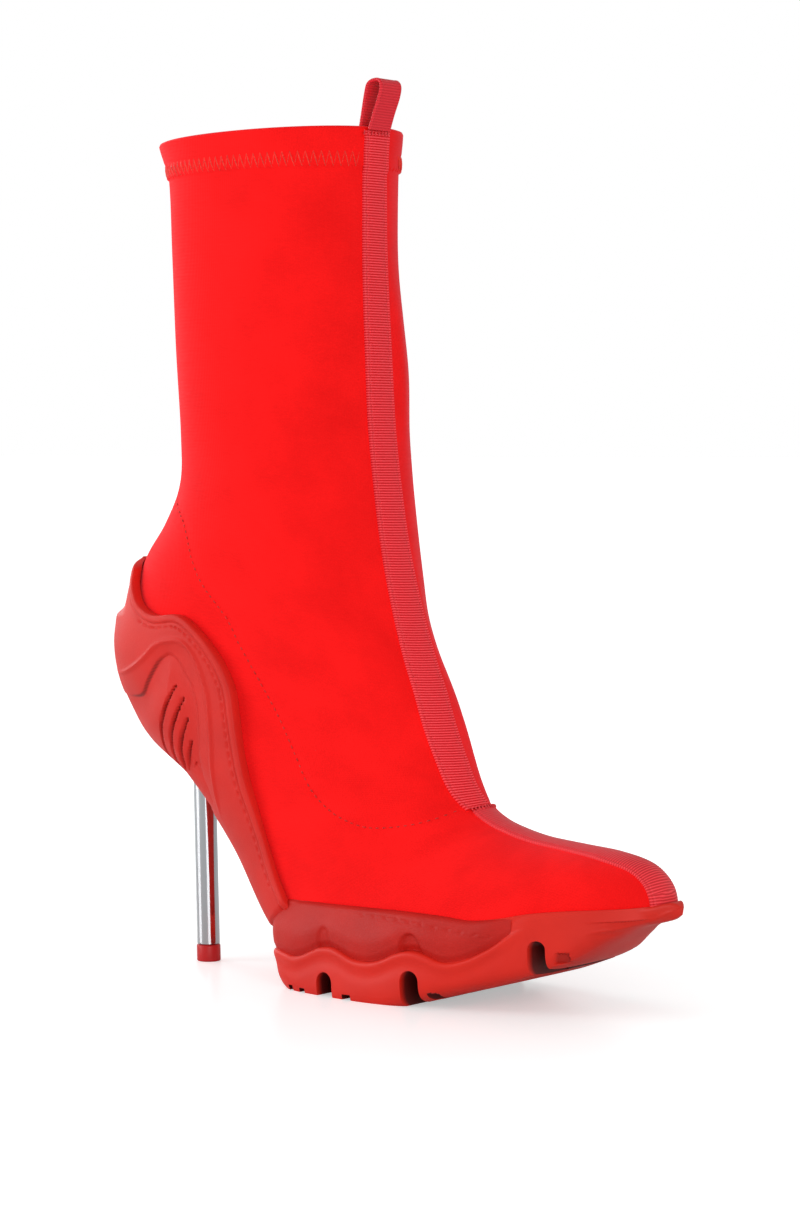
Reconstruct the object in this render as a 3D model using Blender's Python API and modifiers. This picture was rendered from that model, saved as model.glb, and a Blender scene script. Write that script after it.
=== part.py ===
"""Stretch ankle boot on a metal pin heel, the right boot of a pair.

Frame: metres, +X to the toe, +Y to the inner side, +Z up, floor at z = 0.
The upper is lofted through a fan of sections that turns from level at the
collar to upright at the toe.  Each section is a straight chord in the side
view, from a front point to a back point, with a half width and two roundness
powers.  The rubber pieces are lofts through rings that run along a larger
form of the same kind on the outside and along the upper's own form, grown by
the fitting gap, on the inside; their edges are lines drawn in the side view.
Tables are in millimetres and are scaled to metres when a mesh is made.
"""

import math

import bpy
import numpy as np

MM = 0.001

# Driving dimensions, millimetres
WALL = 1.8
HEM_STEP = 0.9
GAP = 0.3
FIT = 0.5
BACK_FLAT = 3.0
MIN_WALL = 1.4
RAIL_INSET = 0.5
TAPE_THICK = 0.9
SHAFT_TAPE_WIDTH = 12.6
VAMP_TAPE_WIDTH = 14.0
LOOP_WIDTH = 11.5
LOOP_THICK = 1.3
LOOP_RISE = 17.2
LOOP_INSIDE = 1.9
LOOP_TAIL = 12.0
LOOP_SHIFT = -3.6
INSOLE_THICK = 2.5
INSOLE_ROOM = 1.4
INSOLE_END = 24.0
PIN_RADIUS = 4.1
PIN_FOOT_X = -84.5
PIN_TOP_X = -86.6
PIN_TOP_Z = 77.5
LIFT_HEIGHT = 6.0
LIFT_RADIUS = 4.3
TOE_SWING = 3.0
SWING_START = 10.0
SWING_END = 118.0
NOTCH_DEPTH = 11.0

# Upper, outer face: one row for each section, collar to toe
SECTION_COLUMNS = ("front_x", "front_z", "back_x", "back_z", "half_width",
                   "widest", "front_round", "back_round")
UPPER_SECTIONS = (
    (-3.2, 294.5, -97.0, 293.5, 33.0, 0.50, 2.1, 2.1),
    (-4.6, 281.5, -92.6, 280.5, 32.0, 0.50, 2.2, 2.2),
    (-5.0, 254.0, -91.0, 254.0, 32.0, 0.50, 2.2, 2.2),
    (-3.0, 222.0, -89.0, 222.0, 32.8, 0.50, 2.2, 2.2),
    (-0.8, 192.0, -86.8, 191.0, 34.2, 0.50, 2.1, 2.1),
    (2.8, 166.0, -88.0, 174.0, 35.0, 0.50, 2.0, 2.0),
    (6.4, 147.0, -95.4, 160.0, 35.2, 0.52, 2.0, 2.0),
    (10.8, 131.0, -105.4, 147.5, 35.0, 0.55, 2.0, 2.0),
    (16.4, 116.0, -112.2, 132.0, 34.2, 0.60, 2.0, 2.0),
    (22.4, 102.5, -115.2, 115.0, 33.0, 0.65, 2.0, 2.0),
    (26.8, 91.0, -111.5, 97.0, 32.0, 0.68, 2.0, 2.1),
    (31.6, 79.5, -98.0, 85.0, 31.0, 0.68, 2.0, 2.4),
    (35.6, 70.8, -72.0, 62.0, 29.4, 0.68, 2.0, 2.8),
    (39.8, 64.2, -48.0, 37.0, 28.6, 0.68, 2.0, 3.0),
    (45.4, 60.6, -26.0, 16.0, 30.2, 0.70, 1.9, 3.2),
    (52.0, 58.2, -2.0, 7.0, 32.5, 0.70, 1.8, 3.4),
    (63.0, 55.6, 28.0, 6.0, 32.5, 0.72, 1.8, 3.4),
    (78.0, 54.0, 59.0, 11.0, 29.0, 0.72, 1.8, 3.4),
    (92.0, 52.6, 83.0, 18.0, 22.0, 0.70, 1.9, 3.2),
    (102.4, 50.0, 100.0, 25.0, 15.2, 0.66, 2.0, 2.8),
    (108.4, 46.2, 108.6, 30.0, 9.6, 0.62, 2.0, 2.4),
    (111.4, 41.4, 112.0, 34.5, 4.6, 0.60, 2.0, 2.0),
)
HEM_ROW = 1.0
HEEL_CUT_ROW = 4.0
TIP_INNER_ROW = 19.5
SIDE_ANGLE = math.radians(88)

# Rubber heel cup, outer form: the same fan, further out
CUP_SECTIONS = (
    (2.8, 166.0, -90.0, 174.5, 37.6, 0.50, 2.0, 2.0),
    (6.4, 147.0, -98.0, 160.5, 38.0, 0.52, 2.0, 2.0),
    (10.8, 131.0, -108.4, 148.0, 38.0, 0.55, 2.0, 2.0),
    (16.4, 116.0, -116.4, 132.5, 37.6, 0.60, 2.0, 2.0),
    (22.4, 102.5, -120.0, 116.0, 37.0, 0.65, 2.0, 2.0),
    (26.8, 91.0, -116.0, 97.5, 36.0, 0.66, 2.0, 1.9),
    (31.6, 79.5, -103.0, 81.0, 34.5, 0.66, 2.0, 1.8),
    (35.6, 70.8, -83.5, 66.0, 33.2, 0.64, 2.0, 1.9),
    (39.8, 64.2, -62.5, 44.0, 31.6, 0.62, 2.0, 2.2),
    (45.4, 60.6, -40.5, 16.0, 32.6, 0.62, 1.9, 2.6),
    (52.0, 58.2, -12.0, 0.0, 35.0, 0.66, 1.8, 3.0),
)

# Forefoot unit, outer form: upright sections from the waist to the toe
UNIT_COLUMNS = ("x", "top_z", "bottom_z", "half_width", "widest",
                "top_round", "bottom_round")
UNIT_SECTIONS = (
    (-36.0, 38.0, 9.6, 15.5, 0.55, 2.4, 2.9),
    (-34.0, 42.0, 5.0, 22.8, 0.55, 2.4, 3.3),
    (-30.0, 44.0, 1.8, 27.6, 0.55, 2.4, 4.4),
    (-25.0, 45.0, -0.2, 30.2, 0.55, 2.4, 6.0),
    (-18.0, 46.0, -1.4, 32.4, 0.55, 2.4, 7.2),
    (-5.0, 46.0, -1.4, 34.4, 0.55, 2.4, 7.6),
    (12.0, 46.0, -1.4, 36.0, 0.55, 2.4, 8.0),
    (28.0, 46.0, -1.2, 36.2, 0.55, 2.4, 7.4),
    (40.0, 46.0, 1.3, 35.2, 0.55, 2.4, 6.0),
    (52.0, 46.0, 5.0, 33.2, 0.55, 2.4, 4.8),
    (64.0, 46.0, 8.6, 30.4, 0.55, 2.4, 4.0),
    (77.0, 47.0, 13.0, 26.6, 0.55, 2.4, 3.2),
    (88.0, 48.0, 17.6, 22.4, 0.55, 2.4, 3.0),
    (97.0, 48.0, 22.6, 18.0, 0.55, 2.4, 2.8),
    (105.0, 47.5, 27.6, 13.2, 0.55, 2.4, 2.6),
    (111.0, 46.5, 30.9, 9.0, 0.55, 2.4, 2.4),
    (114.6, 45.5, 32.9, 4.9, 0.55, 2.4, 2.3),
    (117.4, 44.5, 35.0, 1.5, 0.55, 2.4, 2.2),
)

# How far the shaft tape lies from the front line, to the outer side as minus: row, shift
TAPE_DRIFT = ((0.0, -3.6), (1.0, -3.2), (2.0, -2.9), (3.0, -3.4), (5.2, -3.9), (6.9, -4.1), (8.7, -5.2),
              (11.0, -5.3), (12.2, -4.2), (13.0, -1.6))

# Side-view lines, millimetres: x, z
FLOOR_LINE = ((-122, 98.5), (-111, 96.0), (-100, 92.5), (-88, 84.5), (-74, 71.5),
              (-62, 58.0), (-50, 45.5), (-38, 34.5), (-25, 26.0), (-10, 20.5),
              (10, 18.8), (34, 19.0), (60, 23.2), (79, 28.2), (101, 34.0), (122, 39.0))
CUP_FAN_COLUMNS = ("edge_x", "edge_z", "aim_x", "aim_z")
CUP_FAN = (
    (-104.6, 147.0, -111.0, 147.6),
    (-98.0, 143.0, -114.0, 140.0),
    (-95.0, 137.0, -118.0, 130.0),
    (-89.0, 130.6, -120.0, 121.0),
    (-79.0, 127.0, -120.0, 112.0),
    (-66.0, 127.4, -118.0, 102.0),
    (-57.0, 122.0, -113.5, 93.0),
    (-49.0, 113.0, -106.0, 84.0),
    (-44.0, 103.0, -96.0, 75.0),
    (-42.5, 93.0, -84.0, 66.0),
    (-41.2, 83.0, -74.0, 56.0),
    (-39.0, 72.0, -64.0, 45.0),
    (-35.5, 61.0, -56.0, 34.0),
    (-31.5, 49.0, -49.0, 26.0),
    (-27.6, 39.0, -43.5, 21.0),
    (-23.2, 30.9, -38.6, 19.5),
)
RIM_LINE = ((-38.6, 19.0), (-30.9, 24.7), (-23.2, 30.4), (-16, 31.0), (-4, 31.2), (10, 31.4), (30, 31.6),
            (45, 31.2), (56, 30.6), (64, 31.6), (76, 34.0), (90, 35.6), (100, 36.3),
            (107, 36.9), (112, 37.5), (115, 38.8), (120, 39.4))
WAVE_LINE = ((-40, 12.4), (-34, 14.2), (-28, 13.4), (-19, 11.6), (-10, 14.0), (-3, 16.2), (4, 15.8),
             (12, 13.2), (20, 13.0), (28, 15.4), (35, 16.8), (42, 15.6), (49, 15.6), (54, 17.4),
             (58, 19.6), (68, 31.0), (78, 42.0))

# Arched notches in the sole's side, and the grooves that join them underneath
NOTCH_COLUMNS = ("x", "foot_z", "crown_z", "width", "groove_z", "groove_width")
NOTCHES = (
    (-2.2, -2.0, 8.4, 7.2, 2.6, 4.6),
    (34.8, -2.0, 12.6, 7.0, 3.2, 5.0),
    (78.9, 9.0, 25.4, 5.6, 16.6, 4.2),
)
GROOVE_COLUMNS = ("x", "foot_z", "crown_z", "width")
GROOVES = (
    (8.0, -2.0, 1.8, 3.8),
    (43.0, -2.0, 5.4, 4.0),
)


def blend_rows(rows, stations):
    """Catmull-Rom curve through the rows of a table, at fractional row numbers."""
    rows = np.asarray(rows, dtype=float)
    stations = np.asarray(stations, dtype=float)
    padded = np.vstack((2 * rows[0] - rows[1], rows, 2 * rows[-1] - rows[-2]))
    first = np.clip(np.floor(stations).astype(int), 0, len(rows) - 2)
    u = (stations - first)[:, None]
    a = padded[first]
    b = padded[first + 1]
    c = padded[first + 2]
    d = padded[first + 3]
    return 0.5 * (2 * b + (c - a) * u + (2 * a - 5 * b + 4 * c - d) * u**2
                  + (3 * b - a - 3 * c + d) * u**3)


def curve_height(line, x):
    """Smooth height of a side-view line at x, a Hermite curve through its points."""
    points = np.asarray(line, dtype=float)
    knots = points[:, 0]
    slopes = np.gradient(points[:, 1], knots)
    x = np.clip(np.asarray(x, dtype=float), knots[0], knots[-1])
    i = np.clip(np.searchsorted(knots, x) - 1, 0, len(knots) - 2)
    span = knots[i + 1] - knots[i]
    u = (x - knots[i]) / span
    low = (1 + 2 * u) * (1 - u)**2 * points[i, 1] + u * (1 - u)**2 * span * slopes[i]
    high = u**2 * (3 - 2 * u) * points[i + 1, 1] + u**2 * (u - 1) * span * slopes[i + 1]
    return low + high


def swing(x):
    """Sideways bow of the centre line toward the inner side of the foot."""
    reach = np.clip((x - SWING_START) / (SWING_END - SWING_START), 0, 1.1)
    return TOE_SWING * reach**2


def section_grid(rows, angles):
    """Points of each section: angle 0 at the front point, 180 degrees at the back point.

    Along the chord the point moves by the power cosine and sideways by the power sine,
    with one power before the widest place and one behind it.
    """
    front = rows[:, None, 0:2]
    back = rows[:, None, 2:4]
    width = rows[:, None, 4]
    widest = rows[:, None, 5]
    cosine = np.cos(angles)
    sine = np.sin(angles)
    ahead = cosine > 0
    power = 2 / np.where(ahead, rows[:, None, 6], rows[:, None, 7])
    reach = np.where(ahead, widest, 1 - widest)
    along = widest - np.sign(cosine) * reach * np.abs(cosine)**power
    aside = width * np.sign(sine) * np.abs(sine)**power
    flat = front + along[..., None] * (back - front)
    return np.stack((flat[..., 0], aside + swing(flat[..., 0]), flat[..., 1]), axis=-1)


def lofted(table, stations, angles, distance=0.0):
    """Points of a loft, moved out along its own normals by a distance."""
    stations = np.asarray(stations, dtype=float)
    points = section_grid(blend_rows(table, stations), angles)
    if distance == 0.0:
        return points
    step = 0.01
    around = (section_grid(blend_rows(table, stations), angles + step)
              - section_grid(blend_rows(table, stations), angles - step))
    down = (section_grid(blend_rows(table, stations + step), angles)
            - section_grid(blend_rows(table, stations - step), angles))
    normal = np.cross(around, down)
    normal /= np.linalg.norm(normal, axis=-1, keepdims=True)
    facing = np.sum(normal * (points - points.mean(axis=1, keepdims=True)))
    return points + normal * distance * np.sign(facing)


def new_material(name, colour, roughness, metallic=0.0):
    """Principled material with a linear base colour."""
    material = bpy.data.materials.new(name)
    material.use_nodes = True
    shader = material.node_tree.nodes["Principled BSDF"]
    shader.inputs["Base Color"].default_value = (*colour, 1.0)
    shader.inputs["Roughness"].default_value = roughness
    shader.inputs["Metallic"].default_value = metallic
    material.diffuse_color = (*colour, 1.0)
    return material


def new_object(name, points, faces, home, material=None):
    """Mesh object from millimetre points, linked to one collection."""
    mesh = bpy.data.meshes.new(name)
    mesh.from_pydata((np.asarray(points, dtype=float) * MM).tolist(), [], faces)
    mesh.validate()
    mesh.update()
    thing = bpy.data.objects.new(name, mesh)
    home.objects.link(thing)
    if material:
        mesh.materials.append(material)
    else:
        thing.hide_render = True
        thing.display_type = "WIRE"
    return thing


def loft(name, grid, home, material=None):
    """Closed loft through rings of points, each end closed by one flat face."""
    rings, count = grid.shape[:2]
    faces = [tuple(range(count - 1, -1, -1)), tuple(range((rings - 1) * count, rings * count))]
    for ring in range(rings - 1):
        for step in range(count):
            after = (step + 1) % count
            faces.append((ring * count + step, ring * count + after,
                          (ring + 1) * count + after, (ring + 1) * count + step))
    thing = new_object(name, grid.reshape(-1, 3), faces, home, material)
    face_outward(thing)
    return thing


def face_outward(thing):
    """Turns every face around when the mesh encloses a negative volume."""
    mesh = thing.data
    mesh.calc_loop_triangles()
    corners = np.empty(len(mesh.vertices) * 3)
    mesh.vertices.foreach_get("co", corners)
    corners = corners.reshape(-1, 3)
    index = np.empty(len(mesh.loop_triangles) * 3, dtype=np.int32)
    mesh.loop_triangles.foreach_get("vertices", index)
    a, b, c = np.moveaxis(corners[index.reshape(-1, 3)], 1, 0)
    if np.sum(a * np.cross(b, c)) < 0:
        mesh.flip_normals()


def prism(name, outline, near_y, far_y, home, material=None):
    """Side-view outline drawn across the boot, between two side positions for each point."""
    outline = np.asarray(outline, dtype=float)
    count = len(outline)
    near = np.column_stack((outline[:, 0], np.broadcast_to(near_y, count), outline[:, 1]))
    far = np.column_stack((outline[:, 0], np.broadcast_to(far_y, count), outline[:, 1]))
    faces = [tuple(range(count)), tuple(range(2 * count - 1, count - 1, -1))]
    for step in range(count):
        after = (step + 1) % count
        faces.append((step, step + count, after + count, after))
    thing = new_object(name, np.vstack((near, far)), faces, home, material)
    face_outward(thing)
    return thing


def combine(target, operation, tool):
    """One exact Boolean, kept as a live modifier."""
    modifier = target.modifiers.new(operation.title() + " " + tool.name, "BOOLEAN")
    modifier.operation = operation
    modifier.object = tool
    modifier.solver = "EXACT"


def open_patch(name, grid, thickness, home, material):
    """Open grid given a thickness outward by Solidify."""
    rings, count = grid.shape[:2]
    faces = []
    for ring in range(rings - 1):
        for step in range(count - 1):
            corner = ring * count + step
            faces.append((corner, corner + 1, corner + count + 1, corner + count))
    thing = new_object(name, grid.reshape(-1, 3), faces, home, material)
    solid = thing.modifiers.new("Thickness", "SOLIDIFY")
    solid.thickness = thickness * MM
    solid.offset = 1.0
    solid.use_even_offset = True
    return thing


def feather_angles(rows, lift, fine=721):
    """Angle at which each section meets the lifted foot bed, 180 degrees where it stays above."""
    angles = np.tile(np.linspace(0, math.pi, fine), (len(rows), 1))
    grid = section_grid(rows, angles)
    height = grid[..., 2] - curve_height(FLOOR_LINE, grid[..., 0]) - lift
    below = height < 0
    first = np.argmax(below, axis=1)
    reached = below.any(axis=1)
    found = np.full(len(rows), math.pi)
    for row in np.nonzero(reached)[0]:
        j = max(first[row], 1)
        part = height[row, j - 1] / (height[row, j - 1] - height[row, j])
        found[row] = angles[row, j - 1] + part * (angles[row, j] - angles[row, j - 1])
    return found


def foot_stations():
    """Row numbers of the rings from the ankle to the toe, closer at the heel seat."""
    return np.concatenate((np.arange(HEEL_CUT_ROW, 9.9, 0.6), np.arange(10.0, 11.4, 0.2),
                           np.arange(11.5, 20.9, 0.5), np.array([21.0])))


def half_turn(limit):
    """Angles of half a ring: even down to the side, then spread to the lower edge."""
    spread = np.concatenate((np.linspace(0, SIDE_ANGLE, 8), np.linspace(SIDE_ANGLE, math.pi, 5)[1:]))
    low = np.maximum(spread - SIDE_ANGLE, 0) / (math.pi - SIDE_ANGLE)
    return np.minimum(spread, SIDE_ANGLE) + low * (limit[:, None] - SIDE_ANGLE)


def hem_lift(stations, fade):
    """Extra thickness of the hem, faded out below it over a share of a row."""
    return HEM_STEP * np.clip((HEM_ROW + fade - stations) / fade, 0, 1)


def upper_shell(home, material):
    """Stretch sock, open at the collar and under the foot, with a thicker hem."""
    stations = np.concatenate((np.array([0.0, HEM_ROW, HEM_ROW + 0.03, 1.6]),
                               np.arange(2.2, HEEL_CUT_ROW - 0.1, 0.6), foot_stations()))
    limit = feather_angles(blend_rows(UPPER_SECTIONS, stations), GAP)
    half = half_turn(limit)
    angles = np.concatenate((-half[:, :0:-1], half), axis=1)
    count = angles.shape[1]
    outer = lofted(UPPER_SECTIONS, stations, angles)
    lift = hem_lift(stations, 0.02)[:, None, None]
    outer = outer + lift * (lofted(UPPER_SECTIONS, stations, angles, 1.0) - outer)
    held = np.where(stations > TIP_INNER_ROW, TIP_INNER_ROW + 0.6 * (stations - TIP_INNER_ROW), stations)
    inner = lofted(UPPER_SECTIONS, held, angles, -WALL)
    closed = limit > math.pi - 1e-6
    names = np.arange(len(stations) * count).reshape(len(stations), count)
    names[closed, -1] = names[closed, 0]
    skin = []
    for ring in range(len(stations) - 1):
        for step in range(count - 1):
            corners = (names[ring, step], names[ring, step + 1],
                       names[ring + 1, step + 1], names[ring + 1, step])
            skin.append(tuple(dict.fromkeys(int(corner) for corner in corners)))
    skin.append(tuple(int(corner) for corner in names[-1]))
    points = np.vstack((outer.reshape(-1, 3), inner.reshape(-1, 3)))
    thing = shell("upper", points, skin, home, material)
    edge = outer[~closed]
    return thing, edge


def shell(name, points, skin, home, material):
    """Closed shell from an outer skin and an inner skin that shares its faces."""
    half = len(points) // 2
    sides = {}
    for face in skin:
        for a, b in zip(face, face[1:] + face[:1]):
            sides[(a, b)] = True
    faces = list(skin)
    faces += [tuple(corner + half for corner in reversed(face)) for face in skin]
    faces += [(b, a, a + half, b + half) for a, b in sides if (b, a) not in sides]
    used = sorted({corner for face in faces for corner in face})
    place = {corner: number for number, corner in enumerate(used)}
    faces = [tuple(place[corner] for corner in face) for face in faces]
    thing = new_object(name, points[used], faces, home, material)
    face_outward(thing)
    return thing


def tape_patch(name, stations, drift, width, home, material):
    """Tape down the front of the upper, by arc length either side of its drifting middle line."""
    fine = 361
    angles = np.tile(np.linspace(-math.pi / 2, math.pi / 2, fine), (len(stations), 1))
    ring = lofted(UPPER_SECTIONS, stations, angles)
    lift = GAP + hem_lift(stations, 0.15)[:, None, None]
    ring = ring + lift * (lofted(UPPER_SECTIONS, stations, angles, 1.0) - ring)
    middle = fine // 2
    steps = np.linalg.norm(np.diff(ring, axis=1), axis=-1)
    length = np.concatenate((np.zeros((len(stations), 1)), np.cumsum(steps, axis=1)), axis=1)
    length -= length[:, middle:middle + 1]
    places = drift[:, None] + np.linspace(width / 2, -width / 2, 5)
    grid = np.empty((*places.shape, 3))
    for row in range(len(stations)):
        for axis in range(3):
            grid[row, :, axis] = np.interp(places[row], length[row], ring[row, :, axis])
    return open_patch(name, grid, TAPE_THICK, home, material)


def insole_board(edge, home, material):
    """Flat sole liner on the foot bed, inset from the upper's lower edge."""
    near = edge[:, 0]
    far = edge[:, -1]
    rows = []
    inset = WALL + INSOLE_ROOM
    for side, turn in ((near, 1.0), (far, -1.0)):
        run = np.gradient(side[:, :2], axis=0)
        run /= np.linalg.norm(run, axis=1, keepdims=True)
        rows.append(side[:, :2] + turn * inset * np.column_stack((-run[:, 1], run[:, 0])))
    near, far = rows
    keep = (far[:, 1] - near[:, 1]) > INSOLE_END
    across = np.linspace(1, 0, 5)[None, :, None]
    flat = near[keep][:, None] * (1 - across) + far[keep][:, None] * across
    grid = np.concatenate((flat, curve_height(FLOOR_LINE, flat[..., :1]) + 1.5 * GAP), axis=-1)
    return open_patch("insole", grid, INSOLE_THICK, home, material)


def half_width_at(table, x, z, first, last):
    """Half width of a fan loft at side-view points, 0 outside its outline."""
    stations = np.linspace(first, last, 900)
    rows = blend_rows(table, stations)
    x = np.asarray(x, dtype=float)
    flat_x = x.ravel()
    flat_z = np.asarray(z, dtype=float).ravel()
    run_x = rows[:, 2] - rows[:, 0]
    run_z = rows[:, 3] - rows[:, 1]
    side = (run_x * (flat_z[:, None] - rows[:, 1]) - run_z * (flat_x[:, None] - rows[:, 0]))
    side /= np.hypot(run_x, run_z)
    crossing = side[:, :-1] * side[:, 1:] <= 0
    index = np.argmax(crossing, axis=1)
    picked = np.arange(len(flat_x))
    ahead = side[picked, index]
    behind = side[picked, index + 1]
    part = np.clip(ahead / (ahead - behind + 1e-12), 0, 1)
    row = rows[index] + (rows[index + 1] - rows[index]) * part[:, None]
    run = row[:, 2:4] - row[:, 0:2]
    along = ((flat_x - row[:, 0]) * run[:, 0] + (flat_z - row[:, 1]) * run[:, 1]) / np.sum(run**2, axis=1)
    ratio = np.where(along < row[:, 5], (row[:, 5] - along) / row[:, 5], (along - row[:, 5]) / (1 - row[:, 5]))
    power = np.where(along < row[:, 5], row[:, 6], row[:, 7])
    width = row[:, 4] * np.clip(1 - np.clip(ratio, 0, 1)**power, 0, 1)**(1 / power)
    width[~crossing.any(axis=1)] = 0.0
    return width.reshape(x.shape)


def foot_width(x, z):
    """Half width of the upper's outer face below the ankle."""
    return half_width_at(UPPER_SECTIONS, x, z, HEEL_CUT_ROW, 21.0)


def cup_width(x, z):
    """Half width of the heel cup's outer form."""
    return half_width_at(CUP_SECTIONS, x, z, 0.0, len(CUP_SECTIONS) - 1.0)


def unit_width(x, z):
    """Half width of the forefoot unit's outer form."""
    table = np.asarray(UNIT_SECTIONS, dtype=float)
    stations = np.linspace(0, len(table) - 1, 600)
    rows = blend_rows(table, stations)
    columns = [np.interp(x, rows[:, 0], rows[:, column]) for column in range(1, 7)]
    top, bottom, width, widest, upper_round, lower_round = columns
    along = np.clip((top - z) / (top - bottom), 0, 1)
    ratio = np.where(along < widest, (widest - along) / widest, (along - widest) / (1 - widest))
    power = np.where(along < widest, upper_round, lower_round)
    return width * np.clip(1 - np.clip(ratio, 0, 1)**power, 0, 1)**(1 / power)


def ring_points(x, half, z):
    """Closed ring from one side's points, mirrored about the bowed centre line."""
    near = np.stack((x, swing(x) - half, z), axis=-1)
    far = np.stack((x, swing(x) + half, z), axis=-1)
    return np.concatenate((near, far[:, ::-1]), axis=1)


def cup_rings():
    """Heel cup: C-shaped rings in planes that fan around the heel from the top of the back."""
    stations = np.concatenate((np.arange(0, 5, 0.5), np.arange(5, 6.6, 0.25), np.linspace(7, 15, 13)))
    fan = blend_rows(CUP_FAN, stations)
    edge = fan[:, None, 0:2]
    aim = fan[:, None, 2:4]
    reach = aim - edge
    scan = np.linspace(0, 1.6, 801)[None, :, None]
    line = edge + scan * reach
    outside = cup_width(line[..., 0], line[..., 1]) <= 0
    keel = scan[0, np.argmax(outside, axis=1), 0][:, None, None]
    step = reach / np.linalg.norm(reach, axis=-1, keepdims=True) * FIT
    inner_line = line - step
    foot = foot_width(inner_line[..., 0], inner_line[..., 1])
    length = np.linalg.norm(reach, axis=-1)[:, 0]
    back = scan[0, np.argmax(foot < BACK_FLAT, axis=1), 0] + 2 * FIT / length
    under = line[..., 1] < curve_height(FLOOR_LINE, line[..., 0])
    floor = np.where(under.any(axis=1), scan[0, np.argmax(under, axis=1), 0], 2.0)
    bed = np.minimum(back, floor)[:, None, None]
    share = (1 - np.cos(np.linspace(0, math.pi / 2, 11)))[None, 1:, None]
    outer = edge + (1 - share) * keel * reach
    inward = np.sin(np.linspace(0, math.pi / 2, 9))
    wall = edge + inward[None, :, None] * bed * reach
    outer_half = cup_width(outer[..., 0], outer[..., 1])
    wall_half = foot_width((wall - step)[..., 0], (wall - step)[..., 1]) + FIT * (1 + 2 * inward**4)
    outer_half[:, -1] = np.maximum(outer_half[:, -1], wall_half[:, 0] + MIN_WALL)
    both = np.concatenate((outer, wall), axis=1)
    half = np.concatenate((outer_half, wall_half), axis=1)
    return ring_points(both[..., 0], half, both[..., 1])


def side_rings(x, low, top, bed, inset):
    """Forefoot rings: outer side from low to top, wall down to the bed, mirrored."""
    share = (1 - np.cos(np.linspace(0, math.pi / 2, 7)))[None, :]
    outer_z = low + share * (top - low)
    wall_z = top + np.linspace(0, 1, 4)[None, :] * (bed - top)
    wide_x = np.broadcast_to(x, outer_z.shape)
    wall_x = np.broadcast_to(x, wall_z.shape)
    outer_half = unit_width(wide_x, outer_z) - inset
    wall_half = foot_width(wall_x, np.maximum(wall_z, curve_height(FLOOR_LINE, wall_x))) + FIT
    level = (top - bed) < 0.3
    stepped = outer_half[:, -1:] - 1.5 - np.arange(4)[None, :]
    wall_half = np.where(level, stepped, wall_half)
    outer_half[:, -1] = np.maximum(outer_half[:, -1], wall_half[:, 0] + MIN_WALL)
    outer_half[:, -2] = np.maximum(outer_half[:, -2], wall_half[:, 1] + MIN_WALL)
    both_x = np.concatenate((wide_x, wall_x), axis=1)
    both_z = np.concatenate((outer_z, wall_z), axis=1)
    return ring_points(both_x, np.concatenate((outer_half, wall_half), axis=1), both_z)


def outsole_rings():
    """Outsole: flat-topped under the midsole, a shallow tray in front of it."""
    x = np.concatenate((np.array([-36.0, -35.2, -34.0, -32.0, -29.5, -26.5, -23.0]), np.arange(-19.0, 52.0, 5.0),
                        np.arange(55.0, 70.0, 2.5), np.arange(73.0, 106.0, 4.0),
                        np.array([108.0, 110.5, 112.6, 114.4, 116.0, 117.2])))[:, None]
    rows = np.asarray(UNIT_SECTIONS, dtype=float)
    dense = blend_rows(rows, np.linspace(0, len(rows) - 1, 600))
    bottom = np.interp(x, dense[:, 0], dense[:, 2])
    wave = curve_height(WAVE_LINE, x)
    top = np.minimum(wave, curve_height(RIM_LINE, x))
    low = np.maximum(bottom + 0.05 * (top - bottom), 0.0)
    bed = np.minimum(wave, curve_height(FLOOR_LINE, x))
    bed = np.where(foot_width(x, np.maximum(bed, curve_height(FLOOR_LINE, x))) < 3.0, top - 0.01, bed)
    bed = np.minimum(bed, top)
    return side_rings(x, low, top, bed, 0.0)


def midsole_rings():
    """Midsole: rail around the foot, its lower edge on the wave line, its front on the wave's flank."""
    x = np.concatenate((np.array([-35.4, -34.0, -32.0, -29.5, -26.5]), np.arange(-23.0, 53.0, 4.0),
                        np.array([55.5, 57.5])))[:, None]
    low = curve_height(WAVE_LINE, x) + GAP
    top = curve_height(RIM_LINE, x)
    bed = np.minimum(curve_height(FLOOR_LINE, x), top)
    rings = side_rings(x, low, top, bed, RAIL_INSET)
    last = rings[-1].copy()
    slope = (68 - 58) / (31.0 - 19.6)
    lean = (last[:, 2] - last[:, 2].min()) * slope
    last[:, 0] += lean
    last[:, 1] += np.sign(last[:, 1]) * -0.1 * lean
    return np.concatenate((rings, last[None]), axis=0)


def notch_outline(x, foot, crown, width, count=8):
    """Arch: two straight legs under a half round."""
    turn = np.linspace(0, math.pi, count)
    radius = width / 2
    arch = np.column_stack((x + radius * np.cos(turn), crown - radius + radius * np.sin(turn)))
    return np.vstack(((x + radius, foot), arch, (x - radius, foot)))


def loop_outline(collar):
    """Side view of the pull loop: a strip from in front of the collar, over and down inside."""
    out_x = collar[0] + HEM_STEP + GAP + LOOP_THICK / 2
    in_x = collar[0] - WALL - LOOP_INSIDE - LOOP_THICK / 2
    top = collar[1] + LOOP_RISE
    path = ((out_x, collar[1] - 0.6), (out_x + 0.8, collar[1] + 5), (out_x + 2.0, top - 6),
            (out_x + 1.9, top - 2.4), (out_x + 0.3, top - 0.7), (out_x - 2.3, top - 0.5),
            (out_x - 4.3, top - 1.6), (out_x - 5.0, top - 4.2), (in_x + 0.5, collar[1] + 6),
            (in_x - 0.1, collar[1]), (in_x - 1.6, collar[1] - LOOP_TAIL))
    middle = blend_rows(path, np.linspace(0, len(path) - 1, 25))
    run = np.gradient(middle, axis=0)
    run /= np.linalg.norm(run, axis=1, keepdims=True)
    side = np.column_stack((-run[:, 1], run[:, 0])) * LOOP_THICK / 2
    return np.vstack((middle + side, (middle - side)[::-1]))


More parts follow.
